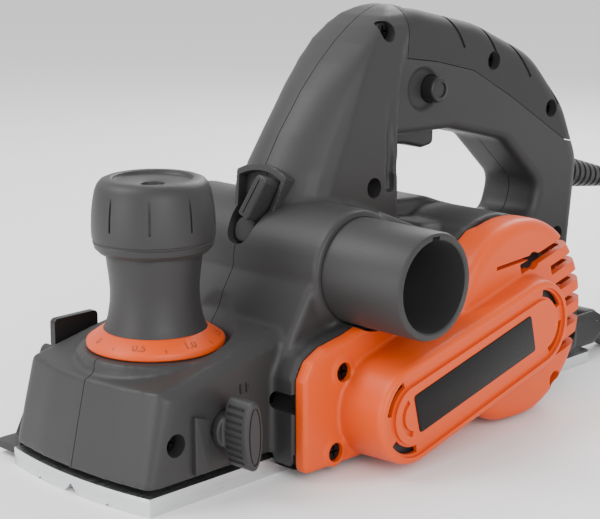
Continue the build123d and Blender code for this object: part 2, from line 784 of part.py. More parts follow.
# ---- depth knob ----
knob_foot = ring_z + 6.8
cap_low = ring_z + 36.8
with BuildPart() as depth_spindle:
    with BuildSketch(Plane.XY.offset(front_shoe_thick + 5)):
        with Locations((knob_x, 0)):
            Circle(spindle_radius)
    extrude(amount=knob_top - 12 - front_shoe_thick - 5)
finish_piece(depth_spindle.part, "depth_spindle")


def turned(points):
    """A piece turned about the knob's axis from its half section (radius, height)."""
    with BuildPart(mode=Mode.PRIVATE) as piece:
        with BuildSketch(Plane(origin=(knob_x, 0, 0), x_dir=(1, 0, 0), z_dir=(0, -1, 0))):
            with BuildLine():
                Polyline(*points, close=True)
            make_face()
        revolve(axis=Axis((knob_x, 0, 0), (0, 0, 1)), revolution_arc=360)
    return piece.part


scale_ring = turned(
    [
        (spindle_radius, ring_z), (26.6, ring_z), (27.1, ring_z + 1.6), (26.6, ring_z + 2.6),
        (20.6, knob_foot), (spindle_radius, knob_foot),
    ],
)
finish_piece(scale_ring, "scale_ring")

with BuildPart() as knob_neck:
    with BuildSketch(Plane(origin=(knob_x, 0, 0), x_dir=(1, 0, 0), z_dir=(0, -1, 0))):
        with BuildLine():
            Polyline((18.9, cap_low), (spindle_radius, cap_low), (spindle_radius, knob_foot), (20.4, knob_foot))
            Spline((20.4, knob_foot), (17.6, 68), (17.4, 74), (18.9, cap_low))
        make_face()
    revolve(axis=Axis((knob_x, 0, 0), (0, 0, 1)), revolution_arc=360)
finish_piece(knob_neck.part, "knob_neck")

with BuildPart() as knob_cap:
    cap_points = [
        (spindle_radius, cap_low), (18.9, cap_low), (22.4, cap_low + 1.6), (23.6, cap_low + 4.6),
        (24, cap_low + 8), (24, cap_low + 13), (23.4, cap_low + 21), (22.2, cap_low + 26),
        (19.6, knob_top - 0.6), (18.2, knob_top), (15.6, knob_top), (15.2, knob_top - 1.4),
        (4.2, knob_top - 2.2), (4.2, knob_top - 10), (spindle_radius, knob_top - 10),
    ]
    add(turned(cap_points))
    with BuildSketch(Plane.XY.offset(cap_low + 6)):
        with Locations((knob_x, 0)):
            with PolarLocations(knob_radius, 8):
                Rectangle(1.6, 1.2)
    extrude(amount=18, mode=Mode.SUBTRACT)
finish_piece(knob_cap.part, "knob_cap")

with BuildPart() as knob_screw:
    with BuildSketch(Plane.XY.offset(knob_top - 9.8)):
        with Locations((knob_x, 0)):
            Circle(3.9)
    extrude(amount=3)
    with BuildSketch(Plane.XY.offset(knob_top - 8)):
        with Locations((knob_x, 0)):
            Rectangle(4.6, 1.0)
            Rectangle(1.0, 4.6)
    extrude(amount=2, mode=Mode.SUBTRACT)
finish_piece(knob_screw.part, "knob_screw")

with BuildPart() as spindle_clip:
    with BuildSketch(Plane.XY.offset(clip_z)):
        with Locations((knob_x, 0)):
            Circle(9)
            Circle(spindle_radius, mode=Mode.SUBTRACT)
    extrude(amount=1.2)
finish_piece(spindle_clip.part, "spindle_clip")


def coil_spring(origin, radius, wire, height, turns, name):
    """A compression spring of round wire, standing on its origin."""
    path = Helix(pitch=(height - wire) / turns, height=height - wire, radius=radius)
    with BuildPart(mode=Mode.PRIVATE) as spring:
        with BuildSketch(Plane(origin=path @ 0, z_dir=path % 0)):
            Circle(wire / 2)
        sweep(path=path, is_frenet=True)
    spring_part = spring.part.moved(Location((origin[0], origin[1], origin[2] + wire / 2)))
    finish_piece(spring_part, name)
    return spring_part


shoe_spring = coil_spring(
    (knob_x, 0, post_top + slip), 8.0, 1.4, clip_z - post_top - 2 * slip - slip, 4.5, "shoe_spring"
)

# ---- trigger, switch and lock button ----
with BuildPart() as trigger:
    add(
        y_slab(
            polygon(
                [
                    (trigger_front, 131), (-54, 131), (-60, 127), (trigger_rear, 124), (trigger_rear, 110.5),
                    (-77, 109.6), (-66, 112.4), (-50, 114.5), (trigger_front, 117),
                ],
                [2, 2, 3, 2, 3, 3, 8, 3, 2],
            ),
            -trigger_half, trigger_half,
        )
    )
    add(
        y_rod(trigger_pin_x, trigger_pin_z, pin_radius + running, -trigger_half - 1, trigger_half + 1),
        mode=Mode.SUBTRACT,
    )
finish_piece(trigger.part, "trigger")
trigger_pin = y_rod(trigger_pin_x, trigger_pin_z, pin_radius, -handle_half + wall + 0.5, handle_half - wall - 0.5)
finish_piece(trigger_pin, "trigger_pin")

switch_low, switch_half = 134.0, 6.4
with BuildPart() as switch:
    with BuildSketch(Plane.XY.offset(switch_low)):
        with Locations(((trigger_front + trigger_rear) / 2 - 4, 0)):
            RectangleRounded(32, 2 * switch_half, 1)
    extrude(amount=19)
finish_piece(switch.part, "switch")
trigger_spring = coil_spring((-76, 0, 126.0), 2.6, 0.6, switch_low - 126.2, 4, "trigger_spring")

with BuildPart() as lock_button:
    wall_in = handle_half - wall - 0.5
    add(y_rod(lock_x, lock_z, lock_radius, wall_in - 1, lock_tip))
    add(y_rod(lock_x, lock_z, lock_radius + 1.3, wall_in - 2.2, wall_in - slip))
    fillet(lock_button.edges().filter_by(GeomType.CIRCLE).sort_by(Axis.Y)[-1], radius=1.2)
finish_piece(lock_button.part, "lock_button")

# ---- chip direction lever ----
lever_rest = 20.0
with BuildPart() as chip_lever:
    with BuildSketch(lever_plane.offset(slip)):
        Circle(5.2)
    extrude(amount=5.5)
    with BuildSketch(lever_plane.offset(slip + 0.4)):
        with Locations(Location((0, 0, 0), (0, 0, -lever_rest))):
            with Locations((0, 12.5)):
                Rectangle(4.6, 22)
    extrude(amount=8.5)
    with BuildSketch(lever_plane.offset(-13.5)):
        Circle(2.5)
    extrude(amount=14.5)
finish_piece(chip_lever.part, "chip_lever")

with BuildPart() as chip_flap:
    with BuildSketch(lever_plane.offset(-14)):
        with Locations(Location((0, 0, 0), (0, 0, -lever_rest))):
            with Locations((0, -5.5)):
                Rectangle(2.0, 15)
        Circle(4.2)
    extrude(amount=9)
    with BuildSketch(lever_plane.offset(-15)):
        Circle(2.5)
    extrude(amount=11, mode=Mode.SUBTRACT)
finish_piece(chip_flap.part, "chip_flap")

# ---- fence knob, rebate stop and its knob ----


def wing_knob(x, z, side, start, name):
    """A wing knob on its collar, facing out on one side, bored for its stud."""
    with BuildPart() as knob:
        low, high = sorted((side * start, side * (start + 3.4)))
        add(y_rod(x, z, 7.5, low, high))
        with BuildSketch(at_side(side * (start + 3.4))):
            with Locations((x, z)):
                Ellipse(4.3, 14.0)
        extrude(amount=-side * 13.0)
        low, high = sorted((side * (start - 1), side * (start + 9)))
        add(y_rod(x, z, stud_radius, low, high), mode=Mode.SUBTRACT)
    finish_piece(knob.part, name)
    low, high = sorted((side * (half - nose_wall + 2), side * (start + 9)))
    finish_piece(y_rod(x, z, stud_radius, low, high), name.replace("knob", "stud"))


plate_in = half + slip
plate_out = plate_in + 3.0
foot_middle, foot_run = 103.75, 12.5
wing_knob(fence_x, fence_z, 1, half + slip, "fence_knob")
wing_knob(stop_x, stop_z, -1, plate_out + slip, "stop_knob")

with BuildPart() as rebate_stop:
    stop_outline = polygon(
        [(70, 2.6), (110, 2.6), (110, 11), (97, 36), (91, 40), (91, 55), (69, 55), (69, 40), (66, 34), (66, 6.6)],
        [3, 2, 4, 4, 3, 2, 2, 1, 2, 3],
    )
    add(y_slab(stop_outline, -plate_out, -plate_in))
    with BuildSketch(at_side(-plate_out)):
        with Locations((stop_x, stop_z - stop_travel / 2)):
            SlotOverall(stop_travel + 2 * stud_radius + 0.8, 2 * stud_radius + 0.8, rotation=90)
    extrude(amount=-6, mode=Mode.SUBTRACT)
    with BuildSketch(Plane.XY.offset(2.6)):
        with Locations((foot_middle, -plate_out - 6.8)):
            RectangleRounded(foot_run, 14, 3)
        with Locations((foot_middle, -plate_out - 1)):
            Rectangle(foot_run, 3)
    extrude(amount=3)
finish_piece(rebate_stop.part, "rebate_stop")

# ---- parking foot ----
with BuildPart() as park_foot:
    with BuildSketch(at_side(foot_low)):
        with Locations((foot_x, foot_z)):
            Circle(7)
        with Locations((foot_tip_x, foot_tip_z)):
            Circle(3)
        make_hull()
        with Locations((foot_x, foot_z)):
            Circle(foot_pin_radius + running, mode=Mode.SUBTRACT)
    extrude(amount=-(foot_high - foot_low))
finish_piece(park_foot.part, "park_foot")
foot_pin = y_rod(foot_x, foot_z, foot_pin_radius, foot_low - slip - ear_thick, foot_high + slip + ear_thick)
finish_piece(foot_pin, "foot_pin")

# ---- mains cord ----
with BuildPart() as cord_guard:
    with BuildSketch(cord_plane.offset(-9)):
        Circle(8.6)
    extrude(amount=5)
    with BuildSketch(cord_plane.offset(-5)):
        Circle(6.0)
    extrude(amount=9)
    with BuildSketch(cord_plane.offset(3)):
        Circle(7.2)
    with BuildSketch(cord_plane.offset(guard_length)):
        Circle(4.6)
    loft()
finish_piece(cord_guard.part, "cord_guard")

guard_end = cord_plane.origin + cord_plane.z_dir * guard_length
cord_points = [
    tuple(guard_end), (-248.6, 0, 71.5), (-265.5, 0.9, 60.9), (-279.4, 3.3, 44.0), (-288.3, 6.9, 28.8),
    (-297.9, 15.0, 15.9), (-306.3, 28.4, 7.5), (-311.2, 45.4, 3.9),
]
coil_x, coil_y, coil_radius = -267.0, 61.4, 38.0
coil_half, coil_height = 10.5, 28.8


def bend_radii(points, share=0.45):
    """One radius for each inner point: a share of the shorter run over the half turn's tangent."""
    radii = []
    for before, here, after in zip(points, points[1:], points[2:]):
        run_in, run_out = Vector(*here) - Vector(*before), Vector(*after) - Vector(*here)
        turn = run_in.get_angle(run_out)
        radii.append(share * min(run_in.length, run_out.length) / tan(radians(turn) / 2))
    return radii


cord_radii = bend_radii(cord_points)
print("cord bend radii", [round(r, 1) for r in cord_radii])
with BuildPart() as cord:
    with BuildLine() as route:
        FilletPolyline(*cord_points, radius=cord_radii)
    with BuildSketch(Plane(origin=route.line @ 0, z_dir=route.line % 0)):
        Circle(cord_radius)
    sweep()
print("cord volume over section times length", cord.part.volume / (pi * cord_radius**2 * route.wires()[0].length))
finish_piece(cord.part, "cord")

with BuildPart() as cord_coil:
    with BuildSketch(Plane.XY.offset(0.1)):
        with Locations((coil_x, coil_y)):
            Circle(coil_radius + coil_half)
            Circle(coil_radius - coil_half, mode=Mode.SUBTRACT)
    extrude(amount=coil_height)
    fillet(cord_coil.edges().filter_by(GeomType.CIRCLE), radius=3.4)
finish_piece(cord_coil.part, "cord_coil")

plug_y = 54.0
plug_length, plug_wide, plug_thick = 36.0, 26.0, 14.0
plug_x = coil_x - coil_radius
plug_low = coil_height + 0.1
plug_z = plug_low + plug_thick / 2
with BuildPart() as plug:
    with BuildSketch(Plane.XZ.offset(-plug_y)):
        with Locations((plug_x, plug_z)):
            RectangleRounded(15, 9, 4)
    with BuildSketch(Plane.XZ.offset(-plug_y - 16)):
        with Locations((plug_x, plug_z)):
            RectangleRounded(plug_wide, plug_thick, 4)
    loft()
    with BuildSketch(Plane.XZ.offset(-plug_y - 16)):
        with Locations((plug_x, plug_z)):
            RectangleRounded(plug_wide, plug_thick, 4)
    extrude(amount=-(plug_length - 16))
finish_piece(plug.part, "plug")

with BuildPart() as plug_pins:
    for side in (-1, 1):
        with BuildSketch(Plane.XZ.offset(-plug_y - plug_length)):
            with Locations((plug_x + side * 9.3, plug_z)):
                Circle(2.2)
        extrude(amount=-19)
finish_piece(plug_pins.part, "plug_pins")
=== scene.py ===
"""Electric hand planer: its looks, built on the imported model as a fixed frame.

Laid out as an add-on and run as a script.  Shapes are given in millimetres, and every
object is in metres: +X to the front knob, +Y to the belt cover, +Z up.
"""

from math import acos, atan2, cos, hypot, pi, radians, sin, tan

import bmesh
import bpy
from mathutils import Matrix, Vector


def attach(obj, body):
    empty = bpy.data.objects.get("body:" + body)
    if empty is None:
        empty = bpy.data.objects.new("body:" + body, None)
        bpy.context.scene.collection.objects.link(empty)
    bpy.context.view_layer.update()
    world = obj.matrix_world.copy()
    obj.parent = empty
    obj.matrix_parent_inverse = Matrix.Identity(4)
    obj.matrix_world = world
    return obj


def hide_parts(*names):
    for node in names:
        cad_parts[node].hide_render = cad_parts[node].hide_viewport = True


bl_info = {
    "name": "Electric hand planer",
    "version": (1, 0, 0),
    "blender": (4, 5, 0),
    "location": "3D view > Sidebar > Planer",
    "description": "Builds the looks of an electric hand planer round its packed model",
    "category": "Object",
}

MM = 0.001
PLASTIC_IOR = 1.5
MOTTLE_MM = 40  # a slow change of tone across a moulding
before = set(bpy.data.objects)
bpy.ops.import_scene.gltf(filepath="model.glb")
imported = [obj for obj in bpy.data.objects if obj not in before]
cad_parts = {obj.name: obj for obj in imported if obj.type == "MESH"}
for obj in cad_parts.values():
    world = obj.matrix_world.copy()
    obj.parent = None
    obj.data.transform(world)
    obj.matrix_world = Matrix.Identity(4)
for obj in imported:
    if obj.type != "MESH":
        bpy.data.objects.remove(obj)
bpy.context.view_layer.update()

# Where the working parts are, in mm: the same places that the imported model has.
DRUM = (10.0, 24.0)
MOTOR = (-70.3, 43.7)
TUBE = (7.3, 75.7)
TUBE_RADIUS = 21.3
TUBE_BORE = 18.1
TUBE_TIP = 86.0
MOTOR_CASE = 43.8
GUARD_ROOT = Vector((-185.0, 0, 85.0))
GUARD_TILT = radians(12)
KNOB_X = 73.5
RING_Z = 50.2
HALF = 41.0
CHEEK = 45.0
FLANGE = 52.0
GRIP_HALF = 17.0
GROOVE_DEPTH = 1.1
SHELF = 9.4
REAR_SHOE = 5.4
LOCK = (-71.0, 137.5)
FENCE = (75.5, 25.7)
STOP = (82.0, 26.0)
LEVER = (22.2, 87.0)
LEVER_LEAN = radians(72.0)
LEVER_REST = radians(20.0)
FOOT = (-172.0, 16.0)
SCREW_HOLES = [(-42.4, 164.0), (-26.4, 101.0), (-114.0, 146.0), (-158.5, 120.0), (-166.0, 58.0), (-146.0, 17.0)]
NOSE_HOLES = [(100.0, 24.5), (47.5, 30.9)]
COVER_SCREWS = [(28.5, 40.8, 0.0), (32.9, 9.2, 0.0), (-76.4, 69.2, 6.0), (-94.9, 12.7, 6.0)]


# ---- colour and node helpers ----
def linear(hex_colour):
    """An sRGB hex colour as the linear RGBA that a shader takes."""
    parts = [int(hex_colour[start : start + 2], 16) / 255 for start in (1, 3, 5)]
    return tuple(p / 12.92 if p <= 0.04045 else ((p + 0.055) / 1.055) ** 2.4 for p in parts) + (1.0,)


def add_node(tree, kind, links=None, **settings):
    """Adds a node, sets its sockets and properties by name, and links its inputs."""
    node = tree.nodes.new(kind)
    for name, value in settings.items():
        socket = node.inputs.get(name.replace("_", " ")) if name[0].isupper() else None
        if socket is not None:
            socket.default_value = value
        else:
            setattr(node, name, value)
    for name, source in (links or {}).items():
        tree.links.new(source, node.inputs[name])
    return node


def blank_material(name):
    """A new material with its Principled shader and object coordinates: (material, tree, shader, place)."""
    made = bpy.data.materials.new(name)
    made.use_nodes = True
    tree = made.node_tree
    shader = tree.nodes["Principled BSDF"]
    place = add_node(tree, "ShaderNodeTexCoord").outputs["Object"]
    return made, tree, shader, place


def surfaced(tree, shader, pattern, blend, tones, roughness, bump_depth, bump_mm):
    """Links a tint between two tones, a gloss and a relief that follow the patterns."""
    tint = add_node(tree, "ShaderNodeMix", {"Factor": blend.outputs["Fac"]}, data_type="RGBA")
    tint.inputs[6].default_value, tint.inputs[7].default_value = tones
    tree.links.new(tint.outputs[2], shader.inputs["Base Color"])
    gloss = add_node(tree, "ShaderNodeMapRange", {"Value": pattern.outputs["Fac"]}, From_Min=0.3, From_Max=0.7)
    gloss.inputs["To Min"].default_value, gloss.inputs["To Max"].default_value = roughness
    tree.links.new(gloss.outputs["Result"], shader.inputs["Roughness"])
    height = {"Height": pattern.outputs["Fac"]}
    bump = add_node(tree, "ShaderNodeBump", height, Strength=bump_depth, Distance=bump_mm * MM)
    tree.links.new(bump.outputs["Normal"], shader.inputs["Normal"])


def moulded(name, colour, roughness, grain_mm, depth, sheen=0.02, mottle=0.06, specular=0.35):
    """Moulded plastic or rubber: an even body colour, and a spark-eroded grain that breaks up the gloss."""
    made, tree, shader, place = blank_material(name)
    base = linear(colour)
    shader.inputs["IOR"].default_value = PLASTIC_IOR
    shader.inputs["Specular IOR Level"].default_value = specular
    shader.inputs["Sheen Weight"].default_value = sheen
    broad = add_node(tree, "ShaderNodeTexNoise", {"Vector": place}, Scale=1 / (MOTTLE_MM * MM), Detail=3.0)
    grain = add_node(tree, "ShaderNodeTexNoise", {"Vector": place}, Scale=1 / (grain_mm * MM), Detail=4.0)
    dark = tuple(c * (1 - mottle) for c in base[:3]) + (1.0,)
    pale = tuple(min(1.0, c * (1 + mottle)) for c in base[:3]) + (1.0,)
    surfaced(tree, shader, grain, broad, (dark, pale), (roughness - 0.05, roughness + 0.05), depth, 0.1)
    return made


def worked_metal(name, colour, roughness, line_mm, along, depth=0.15):
    """Ground, milled or turned metal: fine lines along one axis that stretch the highlights across them."""
    made, tree, shader, place = blank_material(name)
    base = linear(colour)
    shader.inputs["Metallic"].default_value = 1.0
    stretch = [1.0, 1.0, 1.0]
    stretch[along] = 0.03
    lined = add_node(tree, "ShaderNodeMapping", {"Vector": place}, Scale=stretch)
    along_lines = {"Vector": lined.outputs["Vector"]}
    lines = add_node(tree, "ShaderNodeTexNoise", along_lines, Scale=1 / (line_mm * MM), Detail=3.0)
    dark = tuple(c * 0.86 for c in base[:3]) + (1.0,)
    surfaced(tree, shader, lines, lines, (dark, base), (max(0.05, roughness - 0.08), roughness + 0.08), depth, 0.05)
    return made


MATERIALS = {}


def finish_of(name):
    """The object's materials, each made once, when it is first asked for."""
    if name not in MATERIALS:
        MATERIALS[name] = MAKERS[name]()
    return MATERIALS[name]


def colour_of(name):
    """A colour the user may have changed, as hex."""
    return getattr(bpy.context.scene.planer_colours, name)


MAKERS = {
    # Spark-eroded ABS: a dull warm grey whose fine grain spreads the highlights wide.
    "housing_abs": lambda: moulded("ABS, spark-eroded mould", colour_of("housing"), 0.5, 0.5, 0.25),
    # Thermoplastic rubber moulded over the handle: darker, softer light, almost no highlight.
    "grip_rubber": lambda: moulded("TPE, overmoulded", colour_of("grip"), 0.66, 0.6, 0.3, sheen=0.08),
    # Glass-filled nylon in orange: satin, with a clear soft highlight on every rounded edge.
    "orange_nylon": lambda: moulded("nylon, satin moulded", colour_of("cover"), 0.42, 0.5, 0.15, mottle=0.03),
    # Black nylon of the controls: a little glossier than the housing.
    "black_nylon": lambda: moulded("nylon, black, moulded", "#1d1d1e", 0.4, 0.5, 0.2),
    # Printed polyester badge film: smooth and evenly black.
    "badge_film": lambda: moulded("polyester film, printed", "#0a0a0a", 0.4, 1.2, 0.03, sheen=0.0, specular=0.2),
    # Die-cast aluminium, milled on the sole: pale, with fine lines along the stroke.
    "milled_aluminium": lambda: worked_metal("aluminium, milled", "#dfe1e3", 0.34, 0.4, 0),
    # Extruded aluminium of the drum, turned: lines run round it.
    "turned_aluminium": lambda: worked_metal("aluminium, turned", "#c9ccd0", 0.3, 0.4, 1),
    # Ground steel: darker than the aluminium, with sharper highlights.
    "ground_steel": lambda: worked_metal("steel, ground", "#a9abae", 0.25, 0.3, 2),
    # Black-oxide screws: nearly black, with a dull metal glint.
    "oxide_steel": lambda: worked_metal("steel, black oxide", "#2c2c2e", 0.38, 0.4, 1),
    # Lacquered laminations of the motor.
    "lacquered_iron": lambda: worked_metal("iron, lacquered stack", "#5f5d5c", 0.5, 0.5, 0),
    "turned_copper": lambda: worked_metal("copper, turned", "#c98a60", 0.3, 0.4, 0),
    "pressed_carbon": lambda: moulded("carbon, pressed", "#161616", 0.6, 0.4, 0.3, sheen=0.0),
    # Neoprene of the belt and PVC of the lead.
    "belt_neoprene": lambda: moulded("neoprene, ribbed", "#18181a", 0.62, 0.6, 0.3),
    "cord_pvc": lambda: moulded("PVC, extruded", "#2a2a2b", 0.45, 0.8, 0.15),
    "painted_steel": lambda: moulded("steel, powder coated", "#1b1b1c", 0.42, 0.5, 0.3),
    # Pad-printed scale marks on the ring.
    "scale_ink": lambda: moulded("ink, pad printed", "#8a3408", 0.5, 0.5, 0.05),
}


# ---- shape helpers, in mm ----
def rounded(points, radii, steps=5):
    """A closed outline with each corner rounded to its radius."""
    made = []
    count = len(points)
    for index, (point, radius) in enumerate(zip(points, radii)):
        here = Vector(point)
        back = Vector(points[index - 1]) - here
        ahead = Vector(points[(index + 1) % count]) - here
        turn = back.angle(ahead)
        reach = min(radius / tan(turn / 2) if turn < pi - 0.01 else 0.0, 0.48 * min(back.length, ahead.length))
        first = here + back.normalized() * reach
        last = here + ahead.normalized() * reach
        for step in range(steps + 1):
            share = step / steps
            made.append(tuple(first.lerp(here, share).lerp(here.lerp(last, share), share)))
    return made


def circle(x, z, radius, count=64):
    """A closed round outline about a point."""
    return [(x + radius * cos(2 * pi * i / count), z + radius * sin(2 * pi * i / count)) for i in range(count)]


def arc(x, z, radius, start, sweep, steps):
    """Points along part of a circle, with its start and sweep in degrees."""
    turns = [radians(start + sweep * i / steps) for i in range(steps + 1)]
    return [(x + radius * cos(turn), z + radius * sin(turn)) for turn in turns]


def belt_run(front, rear, count=28):
    """The outline round both pulley axes: two arcs and their tangents."""
    along = atan2(MOTOR[1] - DRUM[1], MOTOR[0] - DRUM[0])
    span = hypot(MOTOR[1] - DRUM[1], MOTOR[0] - DRUM[0])
    lean = acos((front - rear) / span)
    made = []
    for step in range(count + 1):
        angle = along + lean + (2 * pi - 2 * lean) * step / count
        made.append((DRUM[0] + front * cos(angle), DRUM[1] + front * sin(angle)))
    for step in range(count + 1):
        angle = along - lean + 2 * lean * step / count
        made.append((MOTOR[0] + rear * cos(angle), MOTOR[1] + rear * sin(angle)))
    return made


def clean(outline):
    """The outline without repeated points."""
    made = []
    for point in outline:
        if not made or hypot(point[0] - made[-1][0], point[1] - made[-1][1]) > 0.02:
            made.append(point)
    if hypot(made[0][0] - made[-1][0], made[0][1] - made[-1][1]) <= 0.02:
        made.pop()
    return made


def grown(outline, amount):
    """The outline moved outwards, or inwards where the amount is negative."""
    area = sum(a[0] * b[1] - b[0] * a[1] for a, b in zip(outline, outline[1:] + outline[:1]))
    sign = 1 if area > 0 else -1
    made = []
    for before, here, after in zip(outline[-1:] + outline[:-1], outline, outline[1:] + outline[:1]):
        first = (Vector(here) - Vector(before)).normalized()
        second = (Vector(after) - Vector(here)).normalized()
        normal = Vector((first.y + second.y, -first.x - second.x))
        stretch = max(0.45, normal.length / 2)
        made.append(tuple(Vector(here) + normal.normalized() * (sign * amount / stretch)))
    return made


def skin(bm, rings, capped=True):
    """Joins rings of points, all of one count, into one closed form."""
    loops = [[bm.verts.new([value * MM for value in point]) for point in ring] for ring in rings]
    count = len(loops[0])
    for low, high in zip(loops, loops[1:]):
        for index in range(count):
            after = (index + 1) % count
            bm.faces.new((low[index], low[after], high[after], high[index]))
    if capped:
        bm.faces.new(list(reversed(loops[0])))
        bm.faces.new(loops[-1])
    return [vert for loop in loops for vert in loop]


def slab(bm, outline, low, high, edge=0.0, steps=4):
    """An outline in X and Z, solid from one width to another, with both rims rounded (edge) or flared (-edge)."""
    outline = clean(outline)
    levels = [(0.0, 0.0)]
    if edge:
        turns = [pi / 2 * step / steps for step in range(steps + 1)]
        levels = [(abs(edge) * (1 - sin(turn)), -edge * (1 - cos(turn))) for turn in turns]
    rings = []
    for depth, growth in reversed(levels):
        rings.append([(x, low + depth, z) for x, z in grown(outline, growth)])
    for depth, growth in levels:
        rings.append([(x, high - depth, z) for x, z in grown(outline, growth)])
    return skin(bm, rings)


def rod(bm, x, z, radius, low, high, edge=0.0, count=64):
    """A round solid along Y."""
    return slab(bm, circle(x, z, radius, count), low, high, edge)


def upright(bm, outline, low, high):
    """An outline in X and Y, solid from one height to another."""
    return skin(bm, [[(x, y, z) for x, y in clean(outline)] for z in (low, high)])


def box(bm, x, y, z):
    """A block between pairs of limits."""
    return upright(bm, [(x[0], y[0]), (x[1], y[0]), (x[1], y[1]), (x[0], y[1])], *z)


def turned(bm, points, place, steps=96):
    """A form turned about Z from its closed half section (radius, height), set at its place."""
    return skin(bm, [[(x, y, height) for x, y in circle(*place, radius, steps)] for radius, height in points])


def along_guard(bm, profile, sides):
    """A round form along the cord guard's axis, from (distance, radius) pairs."""
    out = Vector((-cos(GUARD_TILT), 0, -sin(GUARD_TILT)))
    side = Vector((0, 1, 0))
    up = side.cross(out)
    turns = [2 * pi * i / sides for i in range(sides)]
    rings = []
    for along, radius in profile:
        middle = GUARD_ROOT + out * along
        rings.append([middle + side * (radius * cos(turn)) + up * (radius * sin(turn)) for turn in turns])
    return skin(bm, rings)


def piece_of(name, bm):
    """A new object from a form, with its faces turned outwards."""
    bmesh.ops.recalc_face_normals(bm, faces=bm.faces)
    mesh = bpy.data.meshes.new(name)
    bm.to_mesh(mesh)
    bm.free()
    made = bpy.data.objects.new(name, mesh)
    bpy.context.scene.collection.objects.link(made)
    return made


def twin(piece):
    """A second object with a copy of the piece's mesh."""
    made = piece.copy()
    made.data = piece.data.copy()
    bpy.context.scene.collection.objects.link(made)
    return made


def drawn(name, maker, *args, **settings):
    """A new object from one shape call."""
    bm = bmesh.new()
    maker(bm, *args, **settings)
    return piece_of(name, bm)


def applied(piece):
    """Makes the piece's modifiers part of its mesh."""
    graph = bpy.context.evaluated_depsgraph_get()
    mesh = bpy.data.meshes.new_from_object(piece.evaluated_get(graph))
    piece.modifiers.clear()
    piece.data = mesh
    return piece


def fused(piece, voxel, passes):
    """Unites a piece's overlapping forms into one skin and rounds every edge, as a mould's radii do."""
    remesh = piece.modifiers.new("one skin", "REMESH")
    remesh.mode = "VOXEL"
    remesh.voxel_size = voxel * MM
    smooth = piece.modifiers.new("mould radii", "SMOOTH")
    smooth.iterations = passes
    smooth.factor = 0.5
    return applied(piece)


def combined(piece, other, operation="DIFFERENCE", keep=False):
    """Cuts a piece by another, or keeps what they share or both."""
    step = piece.modifiers.new("cut", "BOOLEAN")
    step.operation = operation
    step.solver = "MANIFOLD"
    step.object = other
    applied(piece)
    if not keep:
        bpy.data.objects.remove(other)
    return piece


def cut(piece, maker, *args, **settings):
    """Cuts one shape out of a piece."""
    return combined(piece, drawn("cutter", maker, *args, **settings))


def faceted(piece, angle=32.0):
    """Smooth shading that stays crisp where faces meet at more than the angle."""
    piece.data.shade_smooth()
    piece.data.set_sharp_from_angle(angle=radians(angle))
    return piece


def dressed(piece, finish, body, slot_name, *nodes):
    """Gives a finished piece its material and its body, and hides the nodes it stands for; slot_name is not used."""
    piece.data.materials.clear()
    piece.data.materials.append(finish_of(finish))
    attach(piece, body)
    if nodes:
        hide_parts(*nodes)
    return piece


def carried(finish, *names, bevel=0.0):
    """Gives CAD nodes their material, and softens their edges where a bevel is asked for."""
    for name in names:
        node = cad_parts[name]
        for index in range(len(node.material_slots)):
            node.material_slots[index].material = finish_of(finish)
        if not node.material_slots:
            node.data.materials.append(finish_of(finish))
        if bevel:
            weld = node.modifiers.new("weld", "WELD")
            weld.merge_threshold = 0.002 * MM
            soften = node.modifiers.new("broken edges", "BEVEL")
            soften.width = bevel * MM
            soften.segments = 2
            soften.limit_method = "ANGLE"
            soften.angle_limit = radians(35)
            soften.use_clamp_overlap = True
            soften.harden_normals = False


# ---- sizes and colours a user may change ----
class PlanerSizes(bpy.types.PropertyGroup):
    """Sizes of the moulded detail."""

    voxel: bpy.props.FloatProperty(
        name="Skin detail", description="Edge of the cells that a moulded form is fused from",
        default=1.0 * MM, min=0.0004, max=0.004, unit="LENGTH", precision=4,
    )
    lead: bpy.props.FloatProperty(
        name="Lead", description="Length of the mains lead", default=2.5, unit="LENGTH", precision=3,
    )
    seam: bpy.props.FloatProperty(
        name="Seam", description="Gap between the two halves of the housing",
        default=0.36 * MM, unit="LENGTH", precision=5,
    )
    handle_round: bpy.props.FloatProperty(
        name="Handle rounding", description="Radius along the handle's edges",
        default=8.0 * MM, unit="LENGTH", precision=4,
    )


class PlanerColours(bpy.types.PropertyGroup):
    """Body colours, as sRGB hex."""

    housing: bpy.props.StringProperty(name="Housing", description="Dark grey of the housing", default="#2a2929")
    grip: bpy.props.StringProperty(name="Grip", description="Grey of the overmoulded grip", default="#232222")
    cover: bpy.props.StringProperty(name="Cover", description="Orange of the cover and the ring", default="#cf4600")


# ---- the lead ----
ROUTE = [
    (-228.79, 0.0, 75.69), (-248.6, 0.0, 71.5), (-265.5, 0.9, 60.9), (-279.4, 3.3, 44.0), (-288.3, 6.9, 28.8),
    (-297.9, 15.0, 15.9), (-306.3, 28.4, 7.5), (-311.2, 45.4, 3.9),
]
COIL = (-267.0, 61.4)
COIL_RINGS = [(45, 3.9), (38, 3.7), (31, 3.7), (31, 10.8), (38, 10.8), (45, 10.8), (45, 18.0), (38, 18.0), (31, 18.0)]
COIL_RINGS += [(38, 24.6)]
PER_TURN = 16
PLUG = (-305.0, 54.0, 36.0)
# Plug sections: distance from its lead, width, height.
PLUG_SECTIONS = [
    (0, 8, 8), (6, 9, 8.4), (12, 15, 10), (18, 24, 13), (24, 26, 14), (33, 26, 14), (35.4, 25, 13), (36, 22, 10.5),
]
CORD_RADIUS = 3.5


